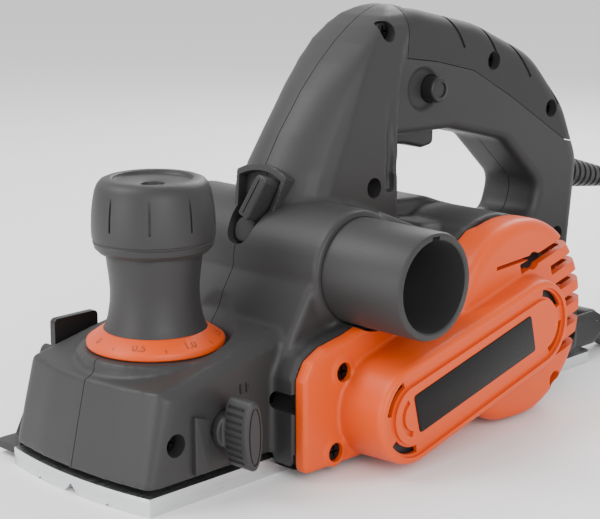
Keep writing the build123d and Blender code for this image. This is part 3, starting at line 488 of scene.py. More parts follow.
class PLANER_OT_lead(bpy.types.Operator):
    """Lays the mains lead from its guard to the stored coil and its plug"""

    bl_idname = "planer.lead"
    bl_label = "Mains lead"

    def execute(self, context):
        points = list(ROUTE)
        steps = PER_TURN * len(COIL_RINGS)
        for step in range(2, steps - 5):
            place = step / PER_TURN
            ring = min(int(place), len(COIL_RINGS) - 1)
            here, after = COIL_RINGS[ring], COIL_RINGS[min(ring + 1, len(COIL_RINGS) - 1)]
            share = max(0.0, (place - ring - 0.6) / 0.4)
            radius = here[0] + (after[0] - here[0]) * share
            height = here[1] + (after[1] - here[1]) * share
            angle = pi - 2 * pi * place
            points.append((COIL[0] + radius * cos(angle), COIL[1] + radius * sin(angle), height))
        points += [(-294.0, 32.0, 29.5), (-302.5, 42.0, 34.0), (-305.0, 54.0, 36.0)]
        line = bpy.data.curves.new("mains_lead", "CURVE")
        line.dimensions = "3D"
        line.bevel_depth = CORD_RADIUS * MM
        line.bevel_resolution = 5
        line.use_fill_caps = True
        spline = line.splines.new("NURBS")
        spline.points.add(len(points) - 1)
        for slot, point in zip(spline.points, points):
            slot.co = [value * MM for value in point] + [1.0]
        spline.order_u = 3
        spline.use_endpoint_u = True
        spline.resolution_u = 6
        lead = bpy.data.objects.new("mains_lead", line)
        context.scene.collection.objects.link(lead)
        dressed(lead, "cord_pvc", "housing", "cord_rubber", "cord", "cord_coil")

        profile = [(-9.0, 8.4), (-4.2, 8.4), (-4.1, 6.0), (3.0, 6.0), (3.2, 7.6), (4.0, 8.0), (6.0, 8.0)]
        for rib in range(7):
            start = 7.0 + rib * 5.2
            size = 7.6 - rib * 0.42
            profile += [(start, size - 1.3), (start + 1.7, size - 1.3), (start + 1.9, size), (start + 4.9, size - 0.1)]
        profile += [(44.9, 4.7), (45.0, 3.8)]
        guard = faceted(drawn("cord_guard_ribbed", along_guard, profile, 40))
        dressed(guard, "cord_pvc", "housing", "cord_rubber", "cord_guard")

        bm = bmesh.new()
        rings = []
        for along, wide, tall in PLUG_SECTIONS:
            outline = rounded(
                [(-wide / 2, -tall / 2), (wide / 2, -tall / 2), (wide / 2, tall / 2), (-wide / 2, tall / 2)],
                [min(wide, tall) * 0.42] * 4, 5,
            )
            rings.append([(PLUG[0] + x, PLUG[1] + along, PLUG[2] + z) for x, z in outline])
        skin(bm, rings)
        plug = faceted(piece_of("mains_plug", bm), 40)
        dressed(plug, "cord_pvc", "housing", "black_plastic", "plug")
        carried("ground_steel", "plug_pins")
        return {"FINISHED"}


# ---- the housing ----
NOSE = [(9.4, 117.3, 5.0), (26.0, 113.4, 6.5), (44.0, 108.9, 8.0), (64.0, 103.5, 8.0)]
DECK = [(135, 37.3), (109, 43.5), (43.6, 56.9), (31, 61.5), (12, 74)]
HOOD = [(46, 4.5), (46, 50), (42.3, 57), (25.5, 83.2), (17.1, 94.5), (8, 96.2), (-10, 96.2), (-44, 82), (-44, 4.5)]
TAIL = [(-40, 6), (-155, 6), (-155, 26), (-150, 36), (-124, 62), (-100, 80), (-40, 86)]
# Tower sections: height, front at the middle, front at the side edge, rear, half width.
TOWER = [
    (56, 32.0, 17.0, -41.0, 25.0), (70, 27.6, 11.5, -41.0, 25.0),
    (90, 22.0, 5.0, -41.0, 24.6), (111, 14.4, -4.5, -42.0, 23.8),
    (125, 5.4, -13.0, -43.5, 22.4), (141.5, -7.6, -21.4, -46.5, 20.8),
    (152, -18.0, -27.0, -50.0, 19.4), (160, -27.4, -33.0, -53.0, 18.0),
    (166, -36.0, -40.0, -55.5, 16.0), (170, -43.0, -45.0, -57.5, 13.4),
    (172.6, -49.5, -50.5, -60.0, 9.4), (173.8, -54.0, -54.4, -60.0, 5.5),
]
GRIP = [
    (18, 58), (12, 82), (2, 113), (-20, 144), (-44, 165), (-60, 173.2), (-106, 163.0), (-146, 146.5), (-172, 121),
    (-185, 94), (-178, 34), (-150, 24), (20, 40),
]
GRIP_RADII = [2, 30, 40, 60, 18, 24, 60, 50, 40, 20, 10, 4, 4]
HAND_HOLE = [(-44, 119), (-86, 118), (-124, 109), (-151, 85), (-146, 69), (-110, 76.5), (-72, 90), (-42, 92)]
HAND_RADII = [5, 14, 14, 8, 8, 20, 20, 5]
FLANGE_FRONT = [
    (50, 3.4), (50, 41), (46, 48), (38, 52), (24, 54.4), (-32, 72), (-52, 84), (MOTOR[0], 86), (MOTOR[0], 3.4),
]
FLANGE_RADII = [4, 3, 3, 3, 3, 4, 4, 1, 1]
EAR = [(-148, 6.5), (-172, 6.5), (-179, 12), (-179, 19), (-172, 23), (-148, 23)]
SKIN_LINE = [(-58, 190), (-55, 152), (-75, 149), (-100, 143), (-127, 129), (-170, 104), (-200, 98), (-200, 190)]
# Room left in the housing, as radii: drum, motor, shafts, screw heads, studs, button and screw threads.
DRUM_ROOM = 26.5
MOTOR_ROOM = 41
SHAFT_ROOM = 11.4
HEAD_ROOM = 4.3
NOSE_HEAD_ROOM = 4.5
STUD_ROOM = 3.2
BUTTON_ROOM = 6.1
THREAD_ROOM = 1.9
SOLE_ROOM = 0.25
# Cross grooves of the grip: top and foot of each.
GROOVES = [
    ((-84.0, 168), (-93, 153.4)), ((-109.5, 160), (-117.4, 146)),
    ((-132.0, 149), (-141.6, 136.2)), ((-160.0, 129.5), (-164.8, 121)),
]
# Ribs moulded on the belt side of the nose: limits along X, limits in height, reach.
RIBS = [(85, 92, 11, 34, 43.2), (66.3, 67.5, 37, 41, 41.9), (63.2, 64.4, 37, 41, 41.9)]


def nose_ring(height, front, corner):
    """The nose's outline at one height: a bulged front with rounded corners."""
    outline = [
        (14, -HALF), (front - 4.2, -HALF), (front - 1.2, -21), (front, 0),
        (front - 1.2, 21), (front - 4.2, HALF), (14, HALF),
    ]
    radii = [1, corner, 60, 60, 60, corner, 1]
    return [(x, y, height) for x, y in rounded(outline, radii, 6)]


def tower_ring(height, front, edge, rear, wide):
    """The tower's outline at one height: a crowned front between two flat sides."""
    ring = [(rear, -wide, height), ((rear + edge) / 2, -wide, height)]
    for step in range(17):
        share = -1 + 2 * step / 16
        ring.append((edge + (front - edge) * max(0.0, cos(pi * share / 2)) ** 0.6, wide * share, height))
    return ring + [((rear + edge) / 2, wide, height), (rear, wide, height)]


def wedge(bm, side):
    """The corner taken off along one side of the deck."""
    rings = []
    for x, z in DECK[:4]:
        rings.append([(x, side * 36.5, z + 0.4), (x, side * 50, z - 11.0), (x, side * 50, z + 14)])
    return skin(bm, rings)


def lever_point(across, up, out):
    """A point on the chip lever's seat: across the planer, up its slope and out of it."""
    return (
        LEVER[0] - cos(LEVER_LEAN) * up + sin(LEVER_LEAN) * out,
        across,
        LEVER[1] + sin(LEVER_LEAN) * up + cos(LEVER_LEAN) * out,
    )


def on_lever(bm, outline, low, high, turn=0.0):
    """An outline on the chip lever's seat, solid from one distance out of it to another."""
    rings = []
    for out in (low, high):
        ring = []
        for across, up in clean(outline):
            ring.append(lever_point(across * cos(turn) + up * sin(turn), up * cos(turn) - across * sin(turn), out))
        rings.append(ring)
    return skin(bm, rings)


def fan_outline(radius, spread, foot):
    """The fan-shaped seat of the chip lever, with a round foot."""
    return arc(0, 0, radius, 90 + spread, -2 * spread, 14) + arc(0, 0, foot, -20, -140, 10)


def arc_slot(x, z, radius, start, sweep, width, steps=18):
    """A curved slot's outline."""
    inner = arc(x, z, radius - width / 2, start, sweep, steps)
    return arc(x, z, radius + width / 2, start, sweep, steps) + inner[::-1]


def outer_form(sizes):
    """The whole outside of the housing in one skin, with its mould radii."""
    bm = bmesh.new()
    skin(bm, [nose_ring(*level) for level in NOSE])
    nose = piece_of("nose", bm)
    cut(nose, slab, DECK + [(12, 150), (135, 150)], -60, 60)
    for side in (-1, 1):
        cut(nose, wedge, side)
    bm = bmesh.new()
    bm.from_mesh(nose.data)
    bpy.data.objects.remove(nose)
    upright(bm, circle(KNOB_X, 0, 31.0, 72), 30, RING_Z - 0.3)
    slab(bm, rounded(HOOD, [2, 2, 3, 6, 3, 4, 3, 3, 2]), -CHEEK, CHEEK, 2.5)
    slab(bm, rounded(TAIL, [2, 5, 8, 12, 12, 8, 2]), -HALF, HALF, 5)
    rod(bm, *MOTOR, MOTOR_CASE, -HALF, CHEEK, 4, 96)
    slab(bm, rounded(FLANGE_FRONT, FLANGE_RADII), 38, FLANGE, 0.6)
    rod(bm, *MOTOR, MOTOR_CASE, 38, FLANGE, 0.6, 96)
    skin(bm, [tower_ring(*level) for level in TOWER])
    rod(bm, *TUBE, 24.2, -CHEEK, CHEEK + 1.6, 1.8, 96)
    slab(bm, rounded(GRIP, GRIP_RADII), -GRIP_HALF, GRIP_HALF, sizes.handle_round / MM, 6)
    for low in (22.1, 35.3):
        slab(bm, rounded(EAR, [1, 3, 5, 5, 3, 1]), low, low + 2.6, 0.6)
    form = piece_of("outer_form", bm)
    remesh = form.modifiers.new("one skin", "REMESH")
    remesh.mode = "VOXEL"
    remesh.voxel_size = sizes.voxel
    applied(form)
    hole = rounded(HAND_HOLE, HAND_RADII, 6)
    cut(form, slab, hole, -GRIP_HALF - 0.2, GRIP_HALF + 0.2, -5.0, 5)
    cut(form, slab, hole, -60, 60)
    well = [(0.01, RING_Z - 0.3), (28.4, RING_Z - 0.3), (28.8, 52), (33.5, 58), (36, 64), (0.01, 64)]
    cut(form, turned, well, (KNOB_X, 0))
    cut(form, rod, -65, 138, 9.5, GRIP_HALF - 1.4, GRIP_HALF + 8, 0.0)
    for low, high in ((21.2, 40), (-40, -21.2)):
        cut(form, slab, [(-38.5, 150), (-41.0, 150), (-38.6, 98), (-34.0, 98)], low, high)
    return fused(form, sizes.voxel / MM, 3)


class PLANER_OT_housing(bpy.types.Operator):
    """Moulds both halves of the housing and the soft grip"""

    bl_idname = "planer.housing"
    bl_label = "Housing"

    def execute(self, context):
        sizes = context.scene.planer_sizes
        form = outer_form(sizes)
        # what the sole, the drum, the motor, the belt and the chips need
        cut(form, box, (-190, 26), (-HALF - SOLE_ROOM, HALF + SOLE_ROOM), (-12, REAR_SHOE + 0.05))
        cut(form, box, (20, 125), (-HALF - SOLE_ROOM, HALF + SOLE_ROOM), (-12, SHELF))
        cut(form, box, (-190, 60), (HALF - 1, 60), (-12, 3.4))
        cut(form, rod, *DRUM, DRUM_ROOM, -HALF - 0.2, HALF + 0.2)
        chip_way = [(36.5, 8), (36.5, 51), (24, 76), (-8, 76), (-8, 44), (10, 30)]
        cut(form, slab, chip_way, -39.7, 39.7)
        cut(form, rod, *TUBE, TUBE_BORE, -60, 60)
        cut(form, rod, *TUBE, 21.55, CHEEK - 6, 60, 0.0, 96)
        cut(form, rod, *TUBE, 22.0, CHEEK + 1.9, 60, 0.0, 96)
        cut(form, rod, *MOTOR, MOTOR_ROOM, -38, 38)
        cut(form, rod, *MOTOR, SHAFT_ROOM, -39.5, 60)
        cut(form, rod, *DRUM, SHAFT_ROOM, -44, 60)
        cut(form, slab, belt_run(18, 16), CHEEK, 60)
        cut(form, slab, [(106, 0), (101, 38), (48, 43), (48, 0)], -29, 29)
        cut(form, turned, [(0.01, 0), (5.5, 0), (5.5, 60), (0.01, 60)], (KNOB_X, 0))
        cut(form, box, (-89.5, -44.5), (-8.7, 8.7), (104, 131.5))
        cut(form, slab, rounded([(-60, 124), (-99, 124), (-99, 156), (-60, 156)], [2] * 4), -12, 12)
        cut(form, on_lever, circle(0, 0, 6.5, 40), -3.0, 14)
        cut(form, on_lever, circle(0, 0, 2.7, 24), -20, 1)
        cut(form, on_lever, fan_outline(25.0, 29, 6.6), -3.0, 14)
        for x, z in SCREW_HOLES:
            cut(form, rod, x, z, HEAD_ROOM, 11, 60, 0.0, 32)
        for x, z in NOSE_HOLES:
            cut(form, rod, x, z, NOSE_HEAD_ROOM, 34, 60, 0.0, 32)
        cut(form, rod, *LOCK, BUTTON_ROOM, 5, 30, 0.0, 40)
        cut(form, rod, *FENCE, STUD_ROOM, 28, 60, 0.0, 24)
        cut(form, rod, *STOP, STUD_ROOM, -60, -28, 0.0, 24)
        cut(form, box, (45, 49.5), (HALF - 3, 60), (4, 10.5))
        for x, z, _ in COVER_SCREWS:
            cut(form, rod, x, z, THREAD_ROOM, CHEEK, 60, 0.0, 16)
        # the guard's way in
        cut(form, along_guard, [(-20, 8.9), (-3.4, 8.9), (-3.3, 6.3), (12, 6.3)], 32)

        # the soft grip is the band above the moulded line, cut with cross grooves
        grip = twin(form)
        combined(grip, drawn("band", slab, SKIN_LINE, -40, 40), "INTERSECT")
        inner = rounded(grown(clean(rounded(GRIP, GRIP_RADII)), -GROOVE_DEPTH), [1] * 200)
        half = GRIP_HALF - GROOVE_DEPTH
        core = drawn("core", slab, inner, -half, half, 7, 6)
        for top, foot in GROOVES:
            along = (Vector(foot) - Vector(top)).normalized()
            across = Vector((along.y, -along.x)) * 0.75
            start = Vector(top) - along * 6
            end = Vector(foot)
            outline = [tuple(spot) for spot in (start + across, start - across, end - across, end + across)]
            groove = drawn("groove", slab, outline, -30, 30)
            combined(groove, core, keep=True)
            combined(grip, groove)
        bpy.data.objects.remove(core)
        cut(form, slab, grown(clean(SKIN_LINE), 0.35), -40, 40)
        # the halves run on under the grip, so no light comes through its seam
        seam_line = [(-58, 152)] + SKIN_LINE[2:6] + [(-176, 102.8)]
        ledge = [(x, z + 2) for x, z in seam_line] + [(x, z - 2) for x, z in reversed(seam_line)]
        combined(form, drawn("ledge", slab, ledge, -12, 12), "UNION")
        faceted(grip)
        grip.name = "grip_overmould"
        dressed(grip, "grip_rubber", "housing", "grip_rubber", "soft_grip")

        far = twin(form)
        form.name, far.name = "housing_belt_side", "housing_far_side"
        gap = sizes.seam / MM / 2
        cut(form, box, (-260, 160), (-80, gap), (-20, 200))
        cut(far, box, (-260, 160), (-gap, 80), (-20, 200))
        for low_x, high_x, low_z, high_z, out_to in RIBS:
            outline = [(low_x, low_z), (high_x, low_z), (high_x, high_z), (low_x, high_z - 0.35 * (high_x - low_x))]
            rib = drawn("rib", slab, rounded(outline, [0.8] * 4), HALF - 3, out_to, 0.5)
            combined(form, rib, "UNION")
        faceted(form)
        faceted(far)
        dressed(form, "housing_abs", "housing", "housing_plastic", "housing_left")
        dressed(far, "housing_abs", "housing", "housing_plastic", "housing_right")
        carried("oxide_steel", "housing_screws", "cover_screws", "shoe_screws")
        return {"FINISHED"}


# ---- the belt cover ----
# Levels of the cover's long dome: distance out, radius at the drum end, radius at the motor end.
COVER_LEVELS = [(53, 20.9, 22.5), (58, 20.9, 22.5), (77.6, 20.2, 19.4), (79.3, 19.7, 18.8), (79.9, 18.6, 17.7)]
VENT_ROWS = 6
VENT_PITCH = 9.2


class PLANER_OT_cover(bpy.types.Operator):
    """Moulds the belt cover with its vents, slots and badge"""

    bl_idname = "planer.cover"
    bl_label = "Belt cover"

    def execute(self, context):
        along = atan2(MOTOR[1] - DRUM[1], MOTOR[0] - DRUM[0])
        bm = bmesh.new()
        slab(bm, rounded(grown(clean(rounded(FLANGE_FRONT, FLANGE_RADII)), -0.2), [0.2] * 60, 1), 52.2, 58, 1.6)
        rod(bm, *MOTOR, MOTOR_CASE, 52.2, 69.8, 5, 96)
        rings = []
        for y, front, rear in COVER_LEVELS:
            rings.append([(x, y, z) for x, z in belt_run(front, rear)])
        skin(bm, rings)
        for x, z, rise in COVER_SCREWS:
            rod(bm, x, z, 6.0, 53, 58.6 + rise * 1.2, 0.8, 32)
        cover = fused(piece_of("cover_moulding", bm), context.scene.planer_sizes.voxel / MM * 0.7, 2)
        cut(cover, rod, *TUBE, 22.6, 50, 64)
        cut(cover, box, (-190, 60), (40, 90), (-12, 3.0))
        cut(cover, slab, belt_run(17.6, 16.6), 50, 76.8)
        cut(cover, rod, *MOTOR, 40.5, 50, 66.5)
        cut(cover, slab, rounded([(46, 6), (46, 38), (30, 50), (-60, 80), (-70, 6)], [2] * 5), 50, 55.6)
        # the face: a sunk channel inside a rim, round a middle panel
        channel = drawn("channel", slab, belt_run(17.2, 16.3), 78.5, 84)
        combined(channel, drawn("panel", slab, belt_run(12.0, 11.2), 76, 86))
        combined(cover, channel)
        # curved slots at both ends, which read black from the painted shade sheet behind them
        for place, radius, start in ((DRUM, 14.6, -98), (DRUM, 14.6, 8), (MOTOR, 13.7, 96), (MOTOR, 13.7, 182)):
            cut(cover, slab, arc_slot(*place, radius, start, 58, 3.0), 70, 84)
        cut(cover, slab, arc_slot(*DRUM, 7.6, -76, 132, 2.2), 78.6, 84)
        cut(cover, slab, [(-51.5, 69.0), (-51.5, 70.6), (-97.0, 73.2), (-97.0, 71.6)], 66, 80)
        # vents: slots that run out to the rear, with fins between them
        for row in range(VENT_ROWS):
            offset = (row - 2.5) * VENT_PITCH
            normal = Vector((-sin(along), cos(along)))
            centre = Vector(MOTOR) - normal * offset
            way = Vector((cos(along), sin(along)))
            near = centre + way * (23.0 if 0 < row < VENT_ROWS - 1 else 3.0)
            far = centre + way * 60
            half_wide = normal * 2.2
            ends = (near + half_wide, near - half_wide, far - half_wide, far + half_wide)
            outline = [tuple(spot) for spot in ends]
            cut(cover, slab, outline, 58.6, 76)
        for x, z, rise in COVER_SCREWS:
            cut(cover, rod, x, z, 3.9, 54.9 + rise, 80, 0.0, 32)
            cut(cover, rod, x, z, THREAD_ROOM, 50, 80, 0.0, 16)
        faceted(cover)
        dressed(cover, "orange_nylon", "housing", "orange_plastic", "belt_cover")

        # painted shade: a dark sheet behind the slots and the vents, standing in for the shaded inside of the cover
        bm = bmesh.new()
        slab(bm, belt_run(17.2, 16.2), 74.5, 75.6)
        shade_sheet = faceted(piece_of("cover_shade_sheet", bm))
        dressed(shade_sheet, "black_nylon", "housing", "black_plastic")

        badge_x, badge_z = (DRUM[0] + MOTOR[0]) / 2 + 3.0, (DRUM[1] + MOTOR[1]) / 2 - 0.8
        turn = along - pi
        outline = rounded([(-38, -8.2), (38, -8.2), (38, 8.2), (-38, 8.2)], [1.6] * 4, 4)
        outline = [
            (badge_x + x * cos(turn) - z * sin(turn), badge_z + x * sin(turn) + z * cos(turn)) for x, z in outline
        ]
        badge = faceted(drawn("badge_plate", slab, outline, 79.5, 80.3, 0.3, 2))
        dressed(badge, "badge_film", "housing", "black_plastic", "cover_badge")
        return {"FINISHED"}


class PLANER_OT_tube(bpy.types.Operator):
    """Moulds the dust tube with its latch notch"""

    bl_idname = "planer.tube"
    bl_label = "Dust tube"

    def execute(self, context):
        outer, inner = TUBE_RADIUS, TUBE_BORE
        profile = [
            (inner, 39.4), (outer, 39.4), (outer, TUBE_TIP - 1.4), (outer - 0.5, TUBE_TIP - 0.4),
            (outer - 1.2, TUBE_TIP), (inner + 0.7, TUBE_TIP), (inner + 0.1, TUBE_TIP - 0.5), (inner, TUBE_TIP - 1.2),
        ]
        bm = bmesh.new()
        steps = 128
        rings = []
        for radius, y in profile + profile[:1]:
            rings.append([(x, y, z) for x, z in circle(*TUBE, radius, steps)])
        skin(bm, rings, capped=False)
        bmesh.ops.remove_doubles(bm, verts=bm.verts, dist=0.001 * MM)
        tube = piece_of("dust_outlet", bm)
        cut(tube, box, (TUBE[0] - 2.2, TUBE[0] + 2.2), (80, 90), (TUBE[1] + inner - 1, TUBE[1] + inner + 1.6))
        faceted(tube)
        dressed(tube, "housing_abs", "housing", "housing_plastic", "dust_tube")
        return {"FINISHED"}


# ---- the depth knob ----
RING_SLOPE = ((27.1, 52.6), (20.6, 57.0))
MARKS = [("0", -14.0), ("0.5", 34.0), ("1.0", 82.0), ("1.5", 130.0), ("2.0", 178.0)]
DEGREES_PER_TICK = 24.0
CAP_SLITS = 9


def on_ring(across, up, lift, azimuth):
    """A point on the scale ring's slope: across it and up it in mm from its middle, raised by lift."""
    low, high = Vector(RING_SLOPE[0]), Vector(RING_SLOPE[1])
    rise = (high - low).normalized()
    out = Vector((rise.y, -rise.x))
    spot = (low + high) / 2 + rise * up + out * lift
    angle = radians(azimuth) + across / spot.x
    return Vector((KNOB_X + spot.x * cos(angle), spot.x * sin(angle), spot.y)) * MM


class PLANER_OT_knob(bpy.types.Operator):
    """Moulds the depth knob, its scale ring and the printed scale"""

    bl_idname = "planer.knob"
    bl_label = "Depth knob"

    def execute(self, context):
        neck = [
            (5.1, 87.0), (18.7, 87.0), (18.8, 86.4), (18.6, 84.5), (17.9, 79.0), (17.45, 74.0), (17.4, 70.5),
            (17.7, 66.5), (18.5, 61.8), (19.4, 58.6), (20.3, 57.05), (5.1, 57.05),
        ]
        waist = faceted(drawn("knob_waist", turned, neck, (KNOB_X, 0)), 40)
        dressed(waist, "housing_abs", "depth_knob", "housing_plastic", "knob_neck")
        cap = [
            (5.1, 87.0), (18.8, 87.0), (21.4, 87.7), (23.0, 89.4), (23.6, 91.7), (23.25, 92.1), (23.3, 92.6),
            (23.8, 93.0),
            (24.0, 95.0), (24.0, 98.0), (23.7, 103.5), (23.1, 108.0), (22.4, 111.4), (21.5, 113.6), (20.1, 115.2),
            (18.2, 115.95), (16.2, 116.0), (15.6, 115.7), (15.3, 115.0), (14.8, 114.5), (12, 114.2), (6.4, 113.9),
            (4.6, 113.4),
            (4.2, 112.4), (4.2, 106.2), (5.1, 106.1),
        ]
        top = drawn("knob_grip_cap", turned, cap, (KNOB_X, 0), 144)
        for step in range(CAP_SLITS):
            angle = 2 * pi * step / CAP_SLITS + 0.1
            bm = bmesh.new()
            ring = []
            for height, radius in ((98.0, 24.4), (111.0, 23.5)):
                way = Vector((cos(angle), sin(angle)))
                side = Vector((-way.y, way.x)) * 0.45
                out, deep = way * (radius + 1), way * (radius - 1.1)
                spots = [out + side, out - side, deep - side, deep + side]
                ring.append([(KNOB_X + p.x, p.y, height) for p in spots])
            skin(bm, ring)
            combined(top, piece_of("cutter", bm))
        faceted(top, 28)
        dressed(top, "housing_abs", "depth_knob", "housing_plastic", "knob_cap")
        ring = [
            (5.1, RING_Z), (26.5, RING_Z), (27.0, 50.7), (27.1, 52.2), (26.8, 52.85), (21.0, 56.85), (20.4, 57.0),
            (5.1, 57.0),
        ]
        dial = faceted(drawn("depth_dial", turned, ring, (KNOB_X, 0), 144), 30)
        dressed(dial, "orange_nylon", "depth_knob", "orange_plastic", "scale_ring")

        # the printed scale: numbers and lines wrapped onto the slope
        bm = bmesh.new()
        for text, azimuth in MARKS:
            curve = bpy.data.curves.new("number", "FONT")
            curve.body = text
            curve.size = 4.6
            curve.align_x = "CENTER"
            curve.align_y = "CENTER"
            curve.extrude = 0.1
            curve.offset = 0.12
            shape = bpy.data.objects.new("number", curve)
            context.scene.collection.objects.link(shape)
            graph = bpy.context.evaluated_depsgraph_get()
            mesh = bpy.data.meshes.new_from_object(shape.evaluated_get(graph))
            bpy.data.objects.remove(shape)
            for vert in mesh.vertices:
                vert.co = on_ring(vert.co.x, vert.co.y - 0.3, 0.03 + vert.co.z * 0.5, azimuth)
            bm.from_mesh(mesh)
        for tick in range(9):
            azimuth = MARKS[0][1] + tick * DEGREES_PER_TICK
            if tick % 2:
                corners = [(-0.3, -2.6), (0.3, -2.6), (0.3, 2.2), (-0.3, 2.2)]
                spots = [bm.verts.new(on_ring(*corner, 0.06, azimuth)) for corner in corners]
                bm.faces.new(spots)
        marks = piece_of("depth_numbers", bm)
        dressed(marks, "scale_ink", "depth_knob", "orange_plastic")
        carried("ground_steel", "depth_spindle", "knob_screw", "spindle_clip", "shoe_spring")
        return {"FINISHED"}


# ---- the sole and what works in it ----
class PLANER_OT_sole(bpy.types.Operator):
    """Finishes both shoes, the drum, its blades and the belt drive"""

    bl_idname = "planer.sole"
    bl_label = "Shoes and drum"

    def execute(self, context):
        carried("milled_aluminium", "front_shoe", "rear_shoe", bevel=0.35)
        carried("turned_aluminium", "cutter_drum", "blade_clamps")
        carried("ground_steel", "blades", "clamp_screws", "drum_shaft", "pulley_nut", "drum_bearings")
        carried("black_nylon", "drum_pulley", "motor_pulley", "fan", "brush_holders", "switch")
        carried("belt_neoprene", "drive_belt")
        carried("ground_steel", "motor_shaft", "motor_bearings", "trigger_pin", "trigger_spring", "foot_pin")
        carried("lacquered_iron", "armature", "field")
        carried("turned_copper", "commutator")
        carried("pressed_carbon", "carbon_brushes")
        return {"FINISHED"}


# ---- trigger, lock button and chip lever ----
class PLANER_OT_controls(bpy.types.Operator):
    """Moulds the trigger, the lock-off button and the chip lever"""

    bl_idname = "planer.controls"
    bl_label = "Controls"

    def execute(self, context):
        outline = rounded(
            [
                (-46.2, 130.8), (-54, 130.8), (-60, 126.8), (-84.3, 123.8), (-84.3, 110.7), (-77, 109.8),
                (-66, 112.6), (-50, 114.7), (-46.2, 117),
            ],
            [2, 2, 3, 2, 3, 3, 8, 3, 2],
        )
        trigger = drawn("trigger_shoe", slab, outline, -7.9, 7.9, 2.2)
        cut(trigger, rod, -50, 127, 1.6, -9, 9, 0.0, 24)
        faceted(trigger, 40)
        dressed(trigger, "black_nylon", "trigger", "black_plastic", "trigger")

        bm = bmesh.new()
        rod(bm, *LOCK, 5.65, 12.6, 22.0, 1.3, 56)
        button = piece_of("lock_off_button", bm)
        cut(button, rod, LOCK[0], LOCK[1], 3.4, 21.5, 24, 0.0, 40)
        faceted(button, 40)
        dressed(button, "black_nylon", "lock_button", "black_plastic", "lock_button")

        bm = bmesh.new()
        on_lever(bm, circle(0, 0, 5.4, 48), -2.6, 3.4)
        blade = rounded([(-3.3, 5.2), (3.3, 5.2), (3.1, 23.4), (-3.1, 23.4)], [1, 1, 1.8, 1.8], 4)
        neck = [(-2.4, 0), (2.4, 0), (2.8, 8), (-2.8, 8)]
        on_lever(bm, neck, -2.4, 3.2, LEVER_REST)
        on_lever(bm, blade, -2.2, 7.8, LEVER_REST)
        lever = fused(piece_of("chip_lever_grip", bm), 0.45, 2)
        line = [(-0.9, 6.6), (-0.3, 6.6), (-0.3, 21.6), (-0.9, 21.6)]
        cut(lever, on_lever, line, 7.0, 12, LEVER_REST)
        stem = drawn("stem", on_lever, circle(0, 0, 2.45, 32), -13.4, 1.0)
        combined(lever, stem, "UNION")
        faceted(lever, 38)
        dressed(lever, "housing_abs", "chip_lever", "housing_plastic", "chip_lever")
        carried("black_nylon", "chip_flap")

        # raised rim of the lever's fan-shaped seat
        bm = bmesh.new()
        on_lever(bm, fan_outline(27.8, 31, 9.4), -9.0, 0.9)
        rim = fused(piece_of("lever_seat_rim", bm), 0.5, 3)
        cut(rim, on_lever, fan_outline(24.9, 29, 6.6), -12, 3)
        faceted(rim)
        dressed(rim, "housing_abs", "housing", "housing_plastic")
        return {"FINISHED"}


# ---- wing knobs, rebate stop and parking foot ----
def wing(name, x, z, side, start, finish, body, slot_name, *nodes):
    """A wing knob: a lens-shaped ribbed wing on a round collar."""
    bm = bmesh.new()
    count = 72
    outline = []
    for index in range(count):
        angle = 2 * pi * index / count
        outline.append((x + 4.5 * abs(cos(angle)) ** 0.9 * (1 if cos(angle) > 0 else -1), z + 13.6 * sin(angle)))
    low, high = sorted((side * (start + 3.2), side * (start + 16.2)))
    slab(bm, outline, low, high, 1.0, 3)
    low, high = sorted((side * start, side * (start + 3.6)))
    rod(bm, x, z, 7.4, low, high, 0.5, 48)
    knob = fused(piece_of(name, bm), 0.5, 2)
    low, high = sorted((side * (start - 2), side * (start + 9)))
    cut(knob, rod, x, z, 3.05, low, high, 0.0, 24)
    for step in range(9):
        height = z - 10.4 + step * 2.6
        reach = 4.5 * max(0.0, 1 - ((height - z) / 13.6) ** 2) ** 0.5
        for way in (-1, 1):
            low_y, high_y = sorted((side * (start + 5), side * (start + 13.5)))
            low_x, high_x = sorted((x + way * (reach - 0.55), x + way * (reach + 3)))
            cut(knob, box, (low_x, high_x), (low_y, high_y), (height - 0.6, height + 0.6))
    line = clean([(x + 3.1 * cos(2 * pi * i / 48), z + 11.4 * sin(2 * pi * i / 48)) for i in range(48)])
    inner = clean([(x + 2.5 * cos(2 * pi * i / 48), z + 10.6 * sin(2 * pi * i / 48)) for i in range(48)])
    face = sorted((side * (start + 15.7), side * (start + 18)))
    groove = drawn("groove", slab, line, *face)
    combined(groove, drawn("core", slab, inner, face[0] - 2, face[1] + 2))
    combined(knob, groove)
    faceted(knob, 36)
    return dressed(knob, finish, body, slot_name, *nodes)


class PLANER_OT_fittings(bpy.types.Operator):
    """Makes the wing knobs, the rebate stop and the parking foot"""

    bl_idname = "planer.fittings"
    bl_label = "Stop, knobs and foot"

    def execute(self, context):
        wing("fence_wing", *FENCE, 1, HALF + 0.3, "housing_abs", "fence_knob", "housing_plastic", "fence_knob")
        wing("stop_wing", *STOP, -1, HALF + 3.6, "housing_abs", "stop_knob", "housing_plastic", "stop_knob")
        carried("ground_steel", "fence_stud", "stop_stud")
        carried("painted_steel", "rebate_stop", bevel=0.5)
        bm = bmesh.new()
        outline = arc(*FOOT, 7, -40, 190, 20) + arc(-191, 3.3, 3, 150, 170, 12)
        slab(bm, outline, 25.0, 35.0, 1.4)
        foot = piece_of("parking_leg", bm)
        cut(foot, rod, *FOOT, 2.05, 20, 40, 0.0, 24)
        faceted(foot, 40)
        dressed(foot, "housing_abs", "park_foot", "housing_plastic", "park_foot")
        return {"FINISHED"}


# ---- stage ----
TARGET = Vector((-7.03, 0.0, 69.88)) * MM
CAMERA = Vector((490.9, 486.6, 235.5)) * MM
LENS = 102.0


